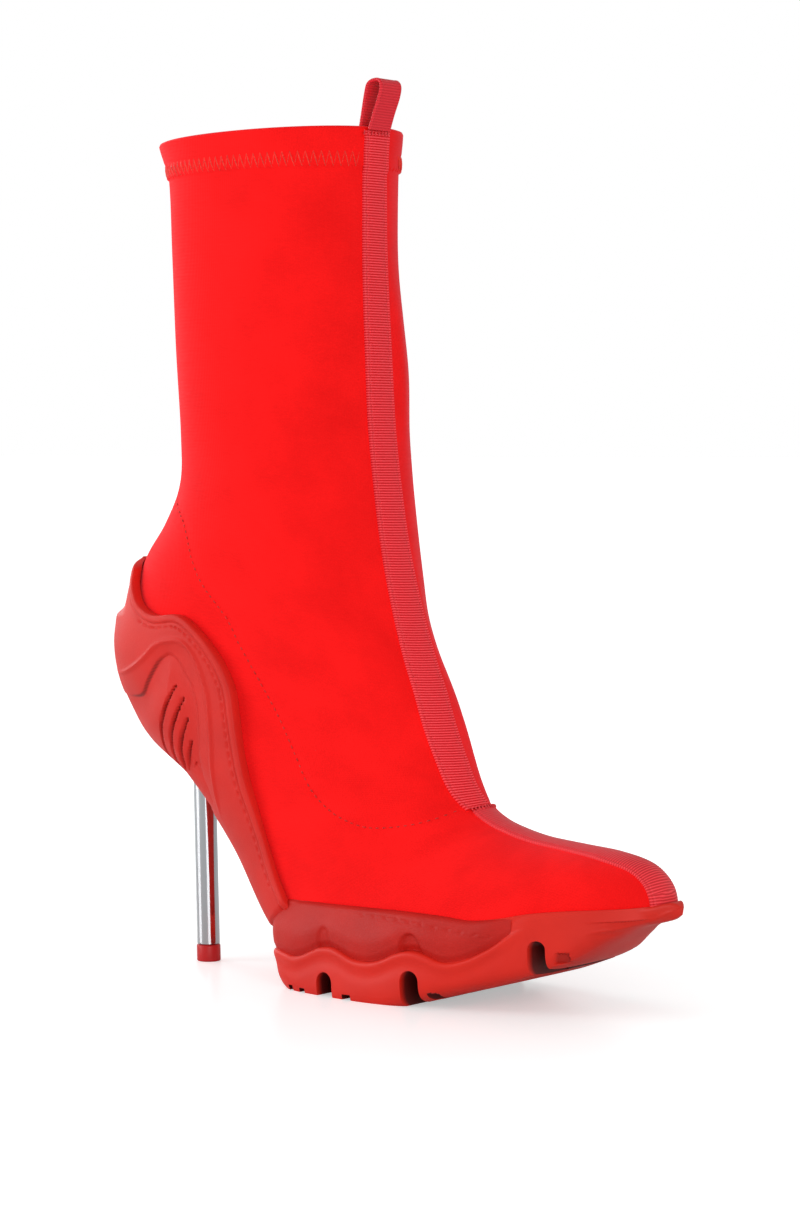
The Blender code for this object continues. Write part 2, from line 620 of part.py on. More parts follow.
def cylinder(name, radius, foot, head, home, material=None, sides=32):
    """Round bar between two points of the centre plane, with level ends."""
    turn = np.arange(sides) * 2 * math.pi / sides
    rings = []
    for x, z in (foot, head):
        rings.append(np.column_stack((x + radius * np.cos(turn), radius * np.sin(turn),
                                      np.full(sides, z))))
    points = np.vstack(rings)
    faces = [tuple(range(sides - 1, -1, -1)), tuple(range(sides, 2 * sides))]
    for step in range(sides):
        after = (step + 1) % sides
        faces.append((step, after, after + sides, step + sides))
    return new_object(name, points, faces, home, material)


for old in list(bpy.data.objects):
    bpy.data.objects.remove(old, do_unlink=True)

PARTS = bpy.data.collections.new("stretch_pin_heel_boot")
TOOLS = bpy.data.collections.new("cutters")
bpy.context.scene.collection.children.link(PARTS)
bpy.context.scene.collection.children.link(TOOLS)

KNIT = new_material("stretch_knit", (0.90, 0.012, 0.014), 0.8)
TAPE = new_material("ribbed_tape", (0.62, 0.020, 0.028), 0.7)
LOOP = new_material("loop_tape", (0.62, 0.020, 0.028), 0.7)
VAMP = new_material("vamp_tape", (0.58, 0.018, 0.026), 0.6)
CUP = new_material("cup_rubber", (0.60, 0.030, 0.032), 0.6)
RAIL = new_material("rail_rubber", (0.60, 0.032, 0.034), 0.6)
TREAD = new_material("tread_rubber", (0.66, 0.030, 0.032), 0.5)
METAL = new_material("polished_metal", (0.80, 0.80, 0.82), 0.08, 1.0)
LIFT = new_material("lift_plastic", (0.55, 0.018, 0.020), 0.5)
SOCK = new_material("insole_cloth", (0.45, 0.015, 0.018), 0.9)

upper, feather = upper_shell(PARTS, KNIT)
insole_board(feather, PARTS, SOCK)
shaft_rows = np.concatenate((np.array([0.08, 0.5, 1.0, 1.15]), np.arange(1.5, 12.9, 0.5), np.array([13.0])))
vamp_rows = np.concatenate((np.array([13.05]), np.arange(13.5, 20.1, 0.5), np.array([20.4])))
tape_patch("shaft_tape", shaft_rows, np.interp(shaft_rows, *zip(*TAPE_DRIFT)), SHAFT_TAPE_WIDTH, PARTS, TAPE)
tape_patch("vamp_tape", vamp_rows, np.zeros(len(vamp_rows)), VAMP_TAPE_WIDTH, PARTS, VAMP)

prism("pull_loop", loop_outline(UPPER_SECTIONS[0][:2]), LOOP_SHIFT - LOOP_WIDTH / 2,
      LOOP_SHIFT + LOOP_WIDTH / 2, PARTS, LOOP)

cup = loft("heel_cup", cup_rings(), PARTS, CUP)
pin_hole = cylinder("pin_hole", PIN_RADIUS + GAP, (PIN_FOOT_X, 0.0), (PIN_TOP_X, PIN_TOP_Z + GAP), TOOLS)
combine(cup, "DIFFERENCE", pin_hole)
rail = loft("midsole", midsole_rings(), PARTS, RAIL)
outsole = loft("outsole", outsole_rings(), PARTS, TREAD)
for number, (x, foot, crown, width, groove, groove_width) in enumerate(NOTCHES):
    half = unit_width(np.array(x), np.array(crown - width))
    for label, turn in (("near", -1), ("far", 1)):
        combine(outsole, "DIFFERENCE", prism("notch_%s_%d" % (label, number + 1),
                                             notch_outline(x, foot, crown, width),
                                             turn * (half + 6), turn * (half - NOTCH_DEPTH), TOOLS))
    combine(outsole, "DIFFERENCE", prism("groove_%d" % (number + 1),
                                         notch_outline(x, foot, groove, groove_width), -44, 44, TOOLS))
for number, (x, foot, crown, width) in enumerate(GROOVES):
    combine(outsole, "DIFFERENCE", prism("low_groove_%d" % (number + 1),
                                         notch_outline(x, foot, crown, width), -44, 44, TOOLS))

pin = cylinder("heel_pin", PIN_RADIUS, (PIN_FOOT_X - 0.036 * LIFT_HEIGHT, LIFT_HEIGHT + GAP),
               (PIN_TOP_X, PIN_TOP_Z), PARTS, METAL)
lift = cylinder("top_lift", LIFT_RADIUS, (PIN_FOOT_X, 0.0),
                (PIN_FOOT_X - 0.036 * LIFT_HEIGHT, LIFT_HEIGHT), PARTS, LIFT)
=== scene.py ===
"""Looks of the stretch ankle boot on a pin heel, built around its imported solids.

Lengths in the tables are millimetres in the boot's own frame: +X to the toe, +Y to the
inner side, +Z up, floor at z = 0.  new_piece turns them into metres.  Each piece is a
grid of points worked out from the same section tables as the solids, with the relief
that the solids leave out: hem fold, ribs, stitches, moulded ridges, slots and pillows.
"""

import math

import bmesh
import bpy
import numpy as np
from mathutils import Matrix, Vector


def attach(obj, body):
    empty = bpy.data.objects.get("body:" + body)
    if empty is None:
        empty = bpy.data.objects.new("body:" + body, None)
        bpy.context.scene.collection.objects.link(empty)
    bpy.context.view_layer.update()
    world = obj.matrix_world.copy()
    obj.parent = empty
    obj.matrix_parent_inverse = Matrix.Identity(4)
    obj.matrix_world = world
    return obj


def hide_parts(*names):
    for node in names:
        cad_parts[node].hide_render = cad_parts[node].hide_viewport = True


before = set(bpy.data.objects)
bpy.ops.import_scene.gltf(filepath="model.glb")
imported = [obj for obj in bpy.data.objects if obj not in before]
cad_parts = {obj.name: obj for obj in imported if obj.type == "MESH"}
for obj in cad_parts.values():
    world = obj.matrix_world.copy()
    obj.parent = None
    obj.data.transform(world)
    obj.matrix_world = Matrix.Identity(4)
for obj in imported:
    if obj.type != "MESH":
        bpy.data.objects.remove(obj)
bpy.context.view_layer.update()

MM = 0.001

# Photograph: height and focal length in pixels, and where the camera stood
IMAGE_HEIGHT = 1209
FOCAL_PIXELS = 3200.0
SENSOR_WIDTH = 36.0
HORIZON_ROW = 450.0
CAMERA_TURN = math.radians(38.0)
CAMERA_REACH = 1100.0
CAMERA_HEIGHT = 185.0
CAMERA_AIM_X = 3.5

# Cloth and tape sizes
WALL = 1.8
HEM_STEP = 0.9
HEM_FOLD = 0.65
HEM_DEPTH = 13.4
HEM_TOOTH = 2.7
HEM_STITCH_TOP = 8.6
HEM_STITCH_FOOT = 13.0
# Angle round the collar, from the front, at which the hem's thread begins
HEM_THREAD_START = 0.30
RIB_PITCH = 0.91
# Stitched furrow of the shaft tape, in from its edge
TAPE_FURROW = 1.45
LOOP_WIDTH = 11.5
LOOP_THICK = 1.3
LOOP_RISE = 17.2
LOOP_INSIDE = 1.9
LOOP_TAIL = 12.0
LOOP_FOOT_Y = -5.4
LOOP_TOP_Y = -0.4
STITCH_PITCH = 2.4

# Rubber and metal sizes
GAP = 0.3
FIT = 0.5
BACK_FLAT = 3.0
MIN_WALL = 1.4
RAIL_INSET = 0.5
NOTCH_DEPTH = 22.0
TREAD_PITCH = 6.0
BEAD_WIDTH = 2.6
PIN_RADIUS = 4.1
PIN_FOOT_X = -84.5
PIN_TOP_X = -86.6
PIN_TOP_Z = 77.5
LIFT_HEIGHT = 6.0
LIFT_RADIUS = 4.3
TOE_SWING = 3.0
SWING_START = 10.0
SWING_END = 118.0

# Upper, outer face: one row for each section, collar to toe
# Columns: front_x, front_z, back_x, back_z, half_width, widest, front_round, back_round
UPPER_SECTIONS = (
    (-3.2, 294.5, -97.0, 292.2, 33.0, 0.50, 2.1, 2.1),
    (-4.6, 281.5, -92.6, 280.5, 32.0, 0.50, 2.2, 2.2),
    (-5.0, 254.0, -91.0, 254.0, 32.0, 0.50, 2.2, 2.2),
    (-3.0, 222.0, -89.0, 222.0, 32.8, 0.50, 2.2, 2.2),
    (-0.8, 192.0, -86.8, 191.0, 34.2, 0.50, 2.1, 2.1),
    (2.8, 166.0, -88.0, 174.0, 35.0, 0.50, 2.0, 2.0),
    (6.4, 147.0, -95.4, 160.0, 35.2, 0.52, 2.0, 2.0),
    (10.8, 131.0, -105.4, 147.5, 35.0, 0.55, 2.0, 2.0),
    (16.4, 116.0, -112.2, 132.0, 34.2, 0.60, 2.0, 2.0),
    (22.4, 102.5, -115.2, 115.0, 33.0, 0.65, 2.0, 2.0),
    (26.8, 91.0, -111.5, 97.0, 32.0, 0.68, 2.0, 2.1),
    (31.6, 79.5, -98.0, 85.0, 31.0, 0.68, 2.0, 2.4),
    (35.6, 70.8, -72.0, 62.0, 29.4, 0.68, 2.0, 2.8),
    (39.8, 64.2, -48.0, 37.0, 28.6, 0.68, 2.0, 3.0),
    (45.4, 60.6, -26.0, 16.0, 30.2, 0.70, 1.9, 3.2),
    (52.0, 58.2, -2.0, 7.0, 32.5, 0.70, 1.8, 3.4),
    (63.0, 55.6, 28.0, 6.0, 32.5, 0.72, 1.8, 3.4),
    (78.0, 54.0, 59.0, 11.0, 29.0, 0.72, 1.8, 3.4),
    (92.0, 52.6, 83.0, 18.0, 22.0, 0.70, 1.9, 3.2),
    (102.4, 50.0, 100.0, 25.0, 15.2, 0.66, 2.0, 2.8),
    (108.4, 46.2, 108.6, 30.0, 9.6, 0.62, 2.0, 2.4),
    (111.4, 41.4, 112.0, 34.5, 4.6, 0.60, 2.0, 2.0),
)
TACK_ROW = 13.0
TOE_ROW = 21.0
TIP_INNER_ROW = 19.5
HEEL_CUT_ROW = 4.0
# Angle and share of the grid's columns at which the front half of a section ends
SIDE_ANGLE = math.radians(88)
SIDE_SHARE = 0.55
# Depth under the collar of the first sections down the shaft
SHAFT_ROWS = (0, 1, 2, 3)
SHAFT_DEPTHS = (0, 13.0, 40.5, 72.5)

# Rubber heel cup, outer form: the same fan and columns, further out
CUP_SECTIONS = (
    (2.8, 166.0, -90.0, 174.5, 37.6, 0.50, 2.0, 2.0),
    (6.4, 147.0, -98.0, 160.5, 38.0, 0.52, 2.0, 2.0),
    (10.8, 131.0, -108.4, 148.0, 38.0, 0.55, 2.0, 2.0),
    (16.4, 116.0, -116.4, 132.5, 37.6, 0.60, 2.0, 2.0),
    (22.4, 102.5, -120.0, 116.0, 37.0, 0.65, 2.0, 2.0),
    (26.8, 91.0, -116.0, 97.5, 36.0, 0.66, 2.0, 1.9),
    (31.6, 79.5, -103.0, 81.0, 34.5, 0.66, 2.0, 1.8),
    (35.6, 70.8, -83.5, 66.0, 33.2, 0.64, 2.0, 1.9),
    (39.8, 64.2, -62.5, 44.0, 31.6, 0.62, 2.0, 2.2),
    (45.4, 60.6, -40.5, 16.0, 32.6, 0.62, 1.9, 2.6),
    (52.0, 58.2, -12.0, 0.0, 35.0, 0.66, 1.8, 3.0),
)

# Heel cup's top edge and the point that each of its fan of planes aims at
# Columns: edge_x, edge_z, aim_x, aim_z
CUP_FAN = (
    (-104.6, 147.0, -111.0, 147.6),
    (-98.0, 143.0, -114.0, 140.0),
    (-95.0, 137.0, -118.0, 130.0),
    (-89.0, 130.6, -120.0, 121.0),
    (-79.0, 127.0, -120.0, 112.0),
    (-66.0, 127.4, -118.0, 102.0),
    (-57.0, 122.0, -113.5, 93.0),
    (-49.0, 113.0, -106.0, 84.0),
    (-44.0, 103.0, -96.0, 75.0),
    (-42.5, 93.0, -84.0, 66.0),
    (-41.2, 83.0, -74.0, 56.0),
    (-39.0, 72.0, -64.0, 45.0),
    (-35.5, 61.0, -56.0, 34.0),
    (-31.5, 49.0, -49.0, 26.0),
    (-27.6, 39.0, -43.5, 21.0),
    (-23.2, 30.9, -38.6, 19.5),
    (-19.6, 24.0, -34.8, 14.6),
)

# Forefoot unit, outer form: upright sections from the waist to the toe
# Columns: x, top_z, bottom_z, half_width, widest, top_round, bottom_round
UNIT_SECTIONS = (
    (-36.0, 38.0, 9.6, 15.5, 0.55, 2.4, 2.9),
    (-34.0, 42.0, 5.0, 22.8, 0.55, 2.4, 3.6),
    (-30.0, 44.0, 1.6, 27.6, 0.55, 2.4, 5.0),
    (-25.0, 45.0, -1.2, 30.2, 0.55, 2.4, 8.0),
    (-18.0, 46.0, -3.0, 32.4, 0.55, 2.4, 9.0),
    (-5.0, 46.0, -3.5, 34.4, 0.55, 2.4, 10.0),
    (12.0, 46.0, -3.5, 36.0, 0.55, 2.4, 10.0),
    (28.0, 46.0, -1.8, 36.2, 0.55, 2.4, 9.0),
    (40.0, 46.0, 1.8, 35.2, 0.55, 2.4, 8.0),
    (52.0, 46.0, 5.4, 33.2, 0.55, 2.4, 7.5),
    (64.0, 46.0, 8.6, 30.4, 0.55, 2.4, 7.0),
    (77.0, 47.0, 13.0, 26.6, 0.55, 2.4, 7.5),
    (88.0, 48.0, 17.6, 22.4, 0.55, 2.4, 5.2),
    (97.0, 48.0, 23.8, 18.0, 0.55, 2.4, 3.6),
    (105.0, 47.5, 29.2, 13.2, 0.55, 2.4, 3.0),
    (111.0, 46.5, 31.2, 9.0, 0.55, 2.4, 2.8),
    (114.6, 45.5, 32.4, 4.9, 0.55, 2.4, 2.6),
    (117.4, 44.5, 34.2, 1.5, 0.55, 2.4, 2.6),
)

# Tapes by section number: the shaft tape's middle from the front line, outer side as minus, and half widths
TAPE_DRIFT = ((0.0, -4.1), (1.0, -3.4), (1.8, -2.9), (2.9, -3.5), (4.0, -3.9), (5.2, -4.1), (6.9, -4.2),
              (8.7, -5.4), (11.0, -5.5), (12.2, -4.6), (13.0, -2.4))
TAPE_HALF_WIDTH = ((0.0, 5.5), (1.7, 5.8), (2.9, 6.2), (5.2, 6.45), (6.9, 6.7), (9.3, 6.5), (11.0, 6.2),
                   (13.0, 5.6))
VAMP_HALF_WIDTH = ((13.0, 6.2), (14.0, 6.0), (15.5, 6.2), (17.0, 7.0), (18.1, 8.3), (19.0, 8.0), (21.0, 8.0))

# Soft folds down the inner side of the front: height z, and how far the cloth stands out
FRONT_FOLDS = ((40, 0.0), (60, 0.0), (75, 0.7), (91, 1.5), (106, 0.4), (117, -0.6), (127, -1.0),
               (140, -0.4), (165, 0.0), (184, 0.4), (200, 1.4), (214, 1.6), (230, 1.0), (246, 0.0),
               (270, -0.3), (300, -0.3))

# Soft troughs across the worn-in ankle
# Columns: height at x = 0, climb along x, half height, middle x, half length, depth
ANKLE_FOLDS = (
    (196, 0.10, 13, -22, 34, 0.9),
    (172, 0.16, 9, -34, 30, 0.5),
    (226, -0.06, 20, -10, 22, 0.8),
)

# Hollows of the midsole over the wave's crests.  Columns: x, half_width, height, depth
RAIL_ARCHES = (
    (-2.6, 3.2, 7.0, 0.5),
    (34.8, 4.4, 6.0, 1.3),
)

# Painted shade in the rubber's sunk places: how much each is darkened; from the first value on the colour is
# painted the darkest red
FULL_SHADE = 0.15
NOTCH_PAINTED_SHADE = 0.95
GROOVE_PAINTED_SHADE = 0.8
LEAF_EDGE_PAINTED_SHADE = 0.11
SLOT_PAINTED_SHADE = 0.10
RECESS_PAINTED_SHADE = 0.07

# Square recess in the outsole's side near the toe
RECESS_X = 86.0
RECESS_Z = 19.6
RECESS_LEAN = 0.3
RECESS_HALF_WIDTH = 1.8
RECESS_FOOT = 18.1
RECESS_TOP = 21.6
RECESS_DEPTH = 1.6
RECESS_SOFT = 0.2

# Side-view lines as points x, z: foot bed, sole rim, wave between midsole and outsole, the heel cup's leaf,
# ridge and slots, side seam, the midsole's stitch row and the toe crease
FLOOR_LINE = ((-122, 98.5), (-111, 96.0), (-100, 92.5), (-88, 84.5), (-74, 71.5),
              (-62, 58.0), (-50, 45.5), (-38, 34.5), (-25, 26.0), (-10, 20.5),
              (10, 18.8), (34, 19.0), (60, 23.2), (79, 28.2), (101, 34.0), (122, 39.0))
RIM_LINE = ((-38.6, 19.0), (-30.9, 24.7), (-23.2, 30.4), (-16, 31.0), (-4, 31.2), (10, 31.4), (30, 31.6),
            (45, 31.2), (56, 30.6), (64, 31.6), (76, 34.0), (90, 35.6), (100, 36.3),
            (107, 36.9), (112, 37.6), (114.8, 38.4), (116.2, 38.1), (117.4, 36.9), (120, 36.5))
WAVE_LINE = ((-40, 12.0), (-34, 12.4), (-28, 13.0), (-22, 12.4), (-17.4, 12.1), (-13, 13.2),
             (-9.3, 14.8), (-5, 16.5), (-1.5, 17.1), (2, 17.0), (5.5, 16.0), (9.8, 14.5), (15.5, 13.9),
             (20, 14.4), (24, 15.7), (29.2, 18.0), (34, 19.1), (38, 18.9), (41.5, 18.0), (44.5, 16.9),
             (49, 16.4), (53.8, 17.5), (57.3, 18.8), (60.5, 20.5), (64.8, 23.0), (67.3, 24.8), (73, 28.2),
             (80, 31.0), (92, 33.6), (120, 38.0))
PANEL_LINE = ((-126, 98.5), (-110, 97.6), (-98, 97.0), (-88.8, 98.2), (-84.0, 103.0), (-78.8, 108.8),
              (-75.5, 111.8), (-71.0, 113.8), (-67.0, 111.5), (-63.8, 107.0), (-60.8, 102.0), (-59.6, 98.0),
              (-59.0, 94.0), (-59.2, 85.0), (-60.6, 75.5), (-62.4, 66.0), (-65.0, 58.0), (-69.0, 50.0))
RIDGE_LINE = ((-126, 107), (-108, 105.4), (-96, 106.4), (-85, 111.0), (-76.9, 116.6), (-70.2, 118.4),
              (-64.6, 118.4), (-60.2, 115.5), (-57.2, 110.8), (-55.0, 104.5), (-53.5, 98.4), (-53.0, 87.2),
              (-53.2, 76.0), (-54.2, 66.8), (-55.6, 58.5), (-58.0, 50.0), (-62, 40))
SLOT_LINES = (
    ((-68.5, 102.5), (-73.5, 94.8), (-77.4, 88.2), (-79.6, 82.8), (-80.8, 78.0), (-82.0, 73.0)),
    ((-65.2, 98.5), (-69.5, 90.8), (-72.6, 85.0), (-74.4, 79.2), (-75.8, 73.2), (-77.2, 67.5)),
    ((-63.8, 91.5), (-67.4, 84.5), (-69.6, 79.6), (-71.0, 74.0), (-72.6, 69.0), (-74.2, 63.0)),
    ((-63.5, 83.0), (-66.4, 77.3), (-68.2, 72.8), (-69.8, 68.0), (-71.2, 63.0), (-72.6, 58.0)),
    ((-63.5, 75.0), (-66.0, 70.2), (-67.6, 66.0), (-69.0, 61.0), (-70.4, 55.0)),
)
SEAM_LINE = ((-79.4, 167.3), (-68.5, 159), (-61.7, 146.4), (-56.4, 138.2), (-46.4, 127.0), (-41.6, 118.0),
             (-34.3, 105.6), (-27.5, 94.4), (-19.4, 79.3), (-16.0, 72.6), (-11.6, 66.8), (-4.7, 61.6),
             (3.3, 58.4), (10.6, 57.4), (21.5, 58.6), (30.0, 61.0), (36.0, 64.0))
RAIL_STITCH_LINE = ((4, 29.0), (15.6, 29.4), (26.8, 29.3), (33.2, 28.9), (40.1, 28.2), (46.3, 27.6),
                    (53.8, 26.8), (60, 26.2), (64.5, 25.8))
TOE_CREASE_LINE = ((94, 28.4), (97.0, 29.0), (102.8, 30.0), (110.2, 32.2), (115.5, 35.5))

# Arched notches in the sole's side, and the grooves underneath
# Columns: x, crown_z, width, groove_z, groove_width
NOTCHES = (
    (-2.2, 8.4, 7.2, 2.6, 4.6),
    (34.8, 12.6, 7.0, 3.2, 5.0),
    (78.9, 25.4, 5.6, 16.6, 4.2),
)
# Small grooves.  Columns: x, crown_z, width
GROOVES = (
    (8.0, 1.8, 3.8),
    (43.0, 5.4, 4.0),
    (-13.5, 1.5, 2.6),
    (-19.5, 1.9, 2.2),
)


# Curves and forms

def blend_rows(rows, stations):
    """Catmull-Rom curve through the rows of a table, at fractional row numbers."""
    rows = np.asarray(rows, dtype=float)
    stations = np.asarray(stations, dtype=float)
    padded = np.vstack((2 * rows[0] - rows[1], rows, 2 * rows[-1] - rows[-2]))
    first = np.clip(np.floor(stations).astype(int), 0, len(rows) - 2)
    u = (stations - first)[:, None]
    a, b, c, d = (padded[first + step] for step in range(4))
    return 0.5 * (2 * b + (c - a) * u + (2 * a - 5 * b + 4 * c - d) * u**2
                  + (3 * b - a - 3 * c + d) * u**3)


def curve_height(line, x):
    """Height of a side-view line at x: a cubic between points, with slopes from their neighbours."""
    points = np.asarray(line, dtype=float)
    knots = points[:, 0]
    slopes = np.gradient(points[:, 1], knots)
    x = np.clip(np.asarray(x, dtype=float), knots[0], knots[-1])
    i = np.clip(np.searchsorted(knots, x) - 1, 0, len(knots) - 2)
    span = knots[i + 1] - knots[i]
    u = (x - knots[i]) / span
    low = (1 + 2 * u) * (1 - u)**2 * points[i, 1] + u * (1 - u)**2 * span * slopes[i]
    high = u**2 * (3 - 2 * u) * points[i + 1, 1] + u**2 * (u - 1) * span * slopes[i + 1]
    return low + high


def smooth_step(low, high, value):
    """0 below low, 1 above high, and 3u^2 - 2u^3 between them."""
    u = np.clip((value - low) / (high - low), 0, 1)
    return u * u * (3 - 2 * u)


def bump(distance, width):
    """Soft hump of height 1: the Gaussian of distance over width."""
    return np.exp(-(distance / width)**2)


def unit(vectors):
    """Vectors divided by their lengths."""
    return vectors / np.maximum(np.linalg.norm(vectors, axis=-1, keepdims=True), 1e-9)


def path_length(points):
    """Length along a line of points, from 0 at the first."""
    return np.concatenate(((0.0,), np.cumsum(np.linalg.norm(np.diff(points, axis=0), axis=1))))


def row_lengths(grid):
    """Length along each row of a grid of points, from 0 at its first column."""
    steps = np.linalg.norm(np.diff(grid, axis=1), axis=-1)
    return np.concatenate((np.zeros((len(grid), 1)), np.cumsum(steps, axis=1)), axis=1)


def swing(x):
    """Sideways bow of the centre line: the square of the way along the forefoot."""
    reach = np.clip((x - SWING_START) / (SWING_END - SWING_START), 0, 1.1)
    return TOE_SWING * reach**2


def section_grid(rows, angles):
    """Points of each section, angle 0 at its front point and 180 degrees at its back point.

    The point moves along the chord by the power cosine of the angle and sideways by the
    power sine, with one power before the widest place and one behind it.
    """
    front = rows[:, None, 0:2]
    back = rows[:, None, 2:4]
    widest = rows[:, None, 5]
    cosine = np.cos(angles)
    sine = np.sin(angles)
    ahead = cosine > 0
    power = 2 / np.where(ahead, rows[:, None, 6], rows[:, None, 7])
    reach = np.where(ahead, widest, 1 - widest)
    along = widest - np.sign(cosine) * reach * np.abs(cosine)**power
    aside = rows[:, None, 4] * np.sign(sine) * np.abs(sine)**power
    flat = front + along[..., None] * (back - front)
    return np.stack((flat[..., 0], aside + swing(flat[..., 0]), flat[..., 1]), axis=-1)


def loft_normals(stations, angles):
    """Outward unit normals of the upper: the cross product of its two central differences."""
    step = 0.01
    around = (section_grid(blend_rows(UPPER_SECTIONS, stations), angles + step)
              - section_grid(blend_rows(UPPER_SECTIONS, stations), angles - step))
    down = (section_grid(blend_rows(UPPER_SECTIONS, stations + step), angles)
            - section_grid(blend_rows(UPPER_SECTIONS, stations - step), angles))
    return unit(np.cross(down, around))


def power_circle(along, widest, front_power, back_power):
    """Share of the width along a chord: 1 at the widest place, 0 at its ends, with a power for each part."""
    before = along < widest
    ratio = np.where(before, (widest - along) / widest, (along - widest) / (1 - widest))
    power = np.where(before, front_power, back_power)
    return np.clip(1 - np.clip(ratio, 0, 1)**power, 0, 1)**(1 / power)


def half_width_at(table, x, z, first):
    """Half width of a fan loft at side-view points, 0 outside its outline.

    Finds the section whose chord passes through the point, then how far along the chord
    it lies, and from that the power-circle width.
    """
    stations = np.linspace(first, len(table) - 1.0, 700)
    rows = blend_rows(table, stations)
    x = np.asarray(x, dtype=float)
    flat_x = x.ravel()
    flat_z = np.asarray(z, dtype=float).ravel()
    run_x = rows[:, 2] - rows[:, 0]
    run_z = rows[:, 3] - rows[:, 1]
    width = np.zeros(len(flat_x))
    for part in np.array_split(np.arange(len(flat_x)), max(1, len(flat_x) // 6000)):
        side = run_x * (flat_z[part, None] - rows[:, 1]) - run_z * (flat_x[part, None] - rows[:, 0])
        side /= np.hypot(run_x, run_z)
        crossing = side[:, :-1] * side[:, 1:] <= 0
        index = np.argmax(crossing, axis=1)
        picked = np.arange(len(part))
        share = side[picked, index] / (side[picked, index] - side[picked, index + 1] + 1e-12)
        row = rows[index] + (rows[index + 1] - rows[index]) * np.clip(share, 0, 1)[:, None]
        run = row[:, 2:4] - row[:, 0:2]
        along = (flat_x[part] - row[:, 0]) * run[:, 0] + (flat_z[part] - row[:, 1]) * run[:, 1]
        along /= np.sum(run**2, axis=1)
        found = row[:, 4] * power_circle(along, row[:, 5], row[:, 6], row[:, 7])
        width[part] = np.where(crossing.any(axis=1), found, 0.0)
    return width.reshape(x.shape)


def foot_width(x, z):
    """Half width of the upper's outer face below the ankle."""
    return half_width_at(UPPER_SECTIONS, x, z, HEEL_CUT_ROW)


def cup_width(x, z):
    """Half width of the heel cup's outer form."""
    return half_width_at(CUP_SECTIONS, x, z, 0.0)


def unit_columns(x, columns):
    """Values at x of some columns of the forefoot unit's table."""
    rows = blend_rows(UNIT_SECTIONS, np.linspace(0, len(UNIT_SECTIONS) - 1, 600))
    return [np.interp(x, rows[:, 0], rows[:, column]) for column in columns]


def unit_width(x, z):
    """Half width of the forefoot unit's outer form, a power circle in each upright section."""
    top, bottom, width, widest, upper_round, lower_round = unit_columns(x, range(1, 7))
    along = np.clip((top - z) / (top - bottom), 0, 1)
    return width * power_circle(along, widest, upper_round, lower_round)


def unit_bottom(x):
    """Lowest height of the forefoot unit's form at x."""
    return unit_columns(x, (2,))[0]


def smooth_line(line, per_span=8):
    """Catmull-Rom points along a side-view line."""
    return blend_rows(line, np.linspace(0, len(line) - 1, (len(line) - 1) * per_span + 1))


def line_distance(line, x, z):
    """Distance of side-view points from a line, signed + to its left, and the length along it."""
    points = smooth_line(line)
    start = points[:-1]
    run = np.diff(points, axis=0)
    length = np.linalg.norm(run, axis=1)
    past = path_length(points)[:-1]
    flat = np.column_stack((np.ravel(x), np.ravel(z)))
    away = flat[:, None, :] - start[None]
    share = np.clip(np.sum(away * run, axis=-1) / length**2, 0, 1)
    gap = away - share[..., None] * run
    distance = np.linalg.norm(gap, axis=-1)
    nearest = np.argmin(distance, axis=1)
    picked = np.arange(len(flat))
    side = run[nearest, 0] * away[picked, nearest, 1] - run[nearest, 1] * away[picked, nearest, 0]
    signed = distance[picked, nearest] * np.where(side >= 0, 1.0, -1.0)
    along = past[nearest] + share[picked, nearest] * length[nearest]
    return signed.reshape(np.shape(x)), along.reshape(np.shape(x))


def dashes(along, pitch, share):
    """1 on the dashes of a broken line and 0 between them, with soft ends."""
    wave = np.abs((along / pitch) % 1.0 - 0.5) * 2
    return 1 - smooth_step(share - 0.12, share + 0.12, wave)


def grid_normals(points):
    """Unit normals of a grid of points, the cross product of its row and column differences."""
    return unit(np.cross(np.gradient(points, axis=0), np.gradient(points, axis=1)))


# Meshes

# Points closer than this become one, and shorter edges are dissolved, in metres
MERGE_DISTANCE = 0.00001
SHORTEST_EDGE = 0.000001


def grid_faces(rows, columns, close=False, start=0):
    """Corner numbers of the quads of a grid of points, closed across its columns or open."""
    row = start + np.arange(rows - 1)[:, None] * columns
    step = np.arange(columns if close else columns - 1)[None, :]
    after = (step + 1) % columns
    return np.stack((row + step, row + after, row + columns + after, row + columns + step),
                    axis=-1).reshape(-1, 4)


def new_piece(name, points, faces, finish, slot, nodes=(), flat_map=None, crease=40.0, shade=None):
    """Mesh piece from millimetre points and quads, merged where points meet and turned outwards."""
    points = np.asarray(points, dtype=float).reshape(-1, 3)
    mesh = bpy.data.meshes.new(name)
    mesh.vertices.add(len(points))
    mesh.vertices.foreach_set("co", (points * MM).ravel())
    mesh.loops.add(faces.size)
    mesh.loops.foreach_set("vertex_index", faces.ravel().astype(np.int32))
    mesh.polygons.add(len(faces))
    mesh.polygons.foreach_set("loop_start", (np.arange(len(faces)) * 4).astype(np.int32))
    mesh.update(calc_edges=True)
    if flat_map is not None:
        layer = mesh.uv_layers.new(name="cloth_mm")
        corners = np.asarray(flat_map, dtype=float).reshape(-1, 2)[faces.ravel()]
        layer.data.foreach_set("uv", corners.ravel())
    # Painted shade for the rubber finishes, kept as the point attribute recess
    if shade is not None:
        layer = mesh.attributes.new("recess", "FLOAT", "POINT")
        layer.data.foreach_set("value", np.ravel(shade).astype(np.float32))
    work = bmesh.new()
    work.from_mesh(mesh)
    bmesh.ops.remove_doubles(work, verts=work.verts, dist=MERGE_DISTANCE)
    bmesh.ops.dissolve_degenerate(work, edges=work.edges, dist=SHORTEST_EDGE)
    if work.calc_volume(signed=True) < 0:
        bmesh.ops.reverse_faces(work, faces=work.faces)
    work.to_mesh(mesh)
    work.free()
    mesh.shade_smooth()
    mesh.set_sharp_from_angle(angle=math.radians(crease))
    mesh.materials.append(finish)
    piece = bpy.data.objects.new(name, mesh)
    bpy.context.scene.collection.objects.link(piece)
    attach(piece, "root")
    if nodes:
        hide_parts(*nodes)


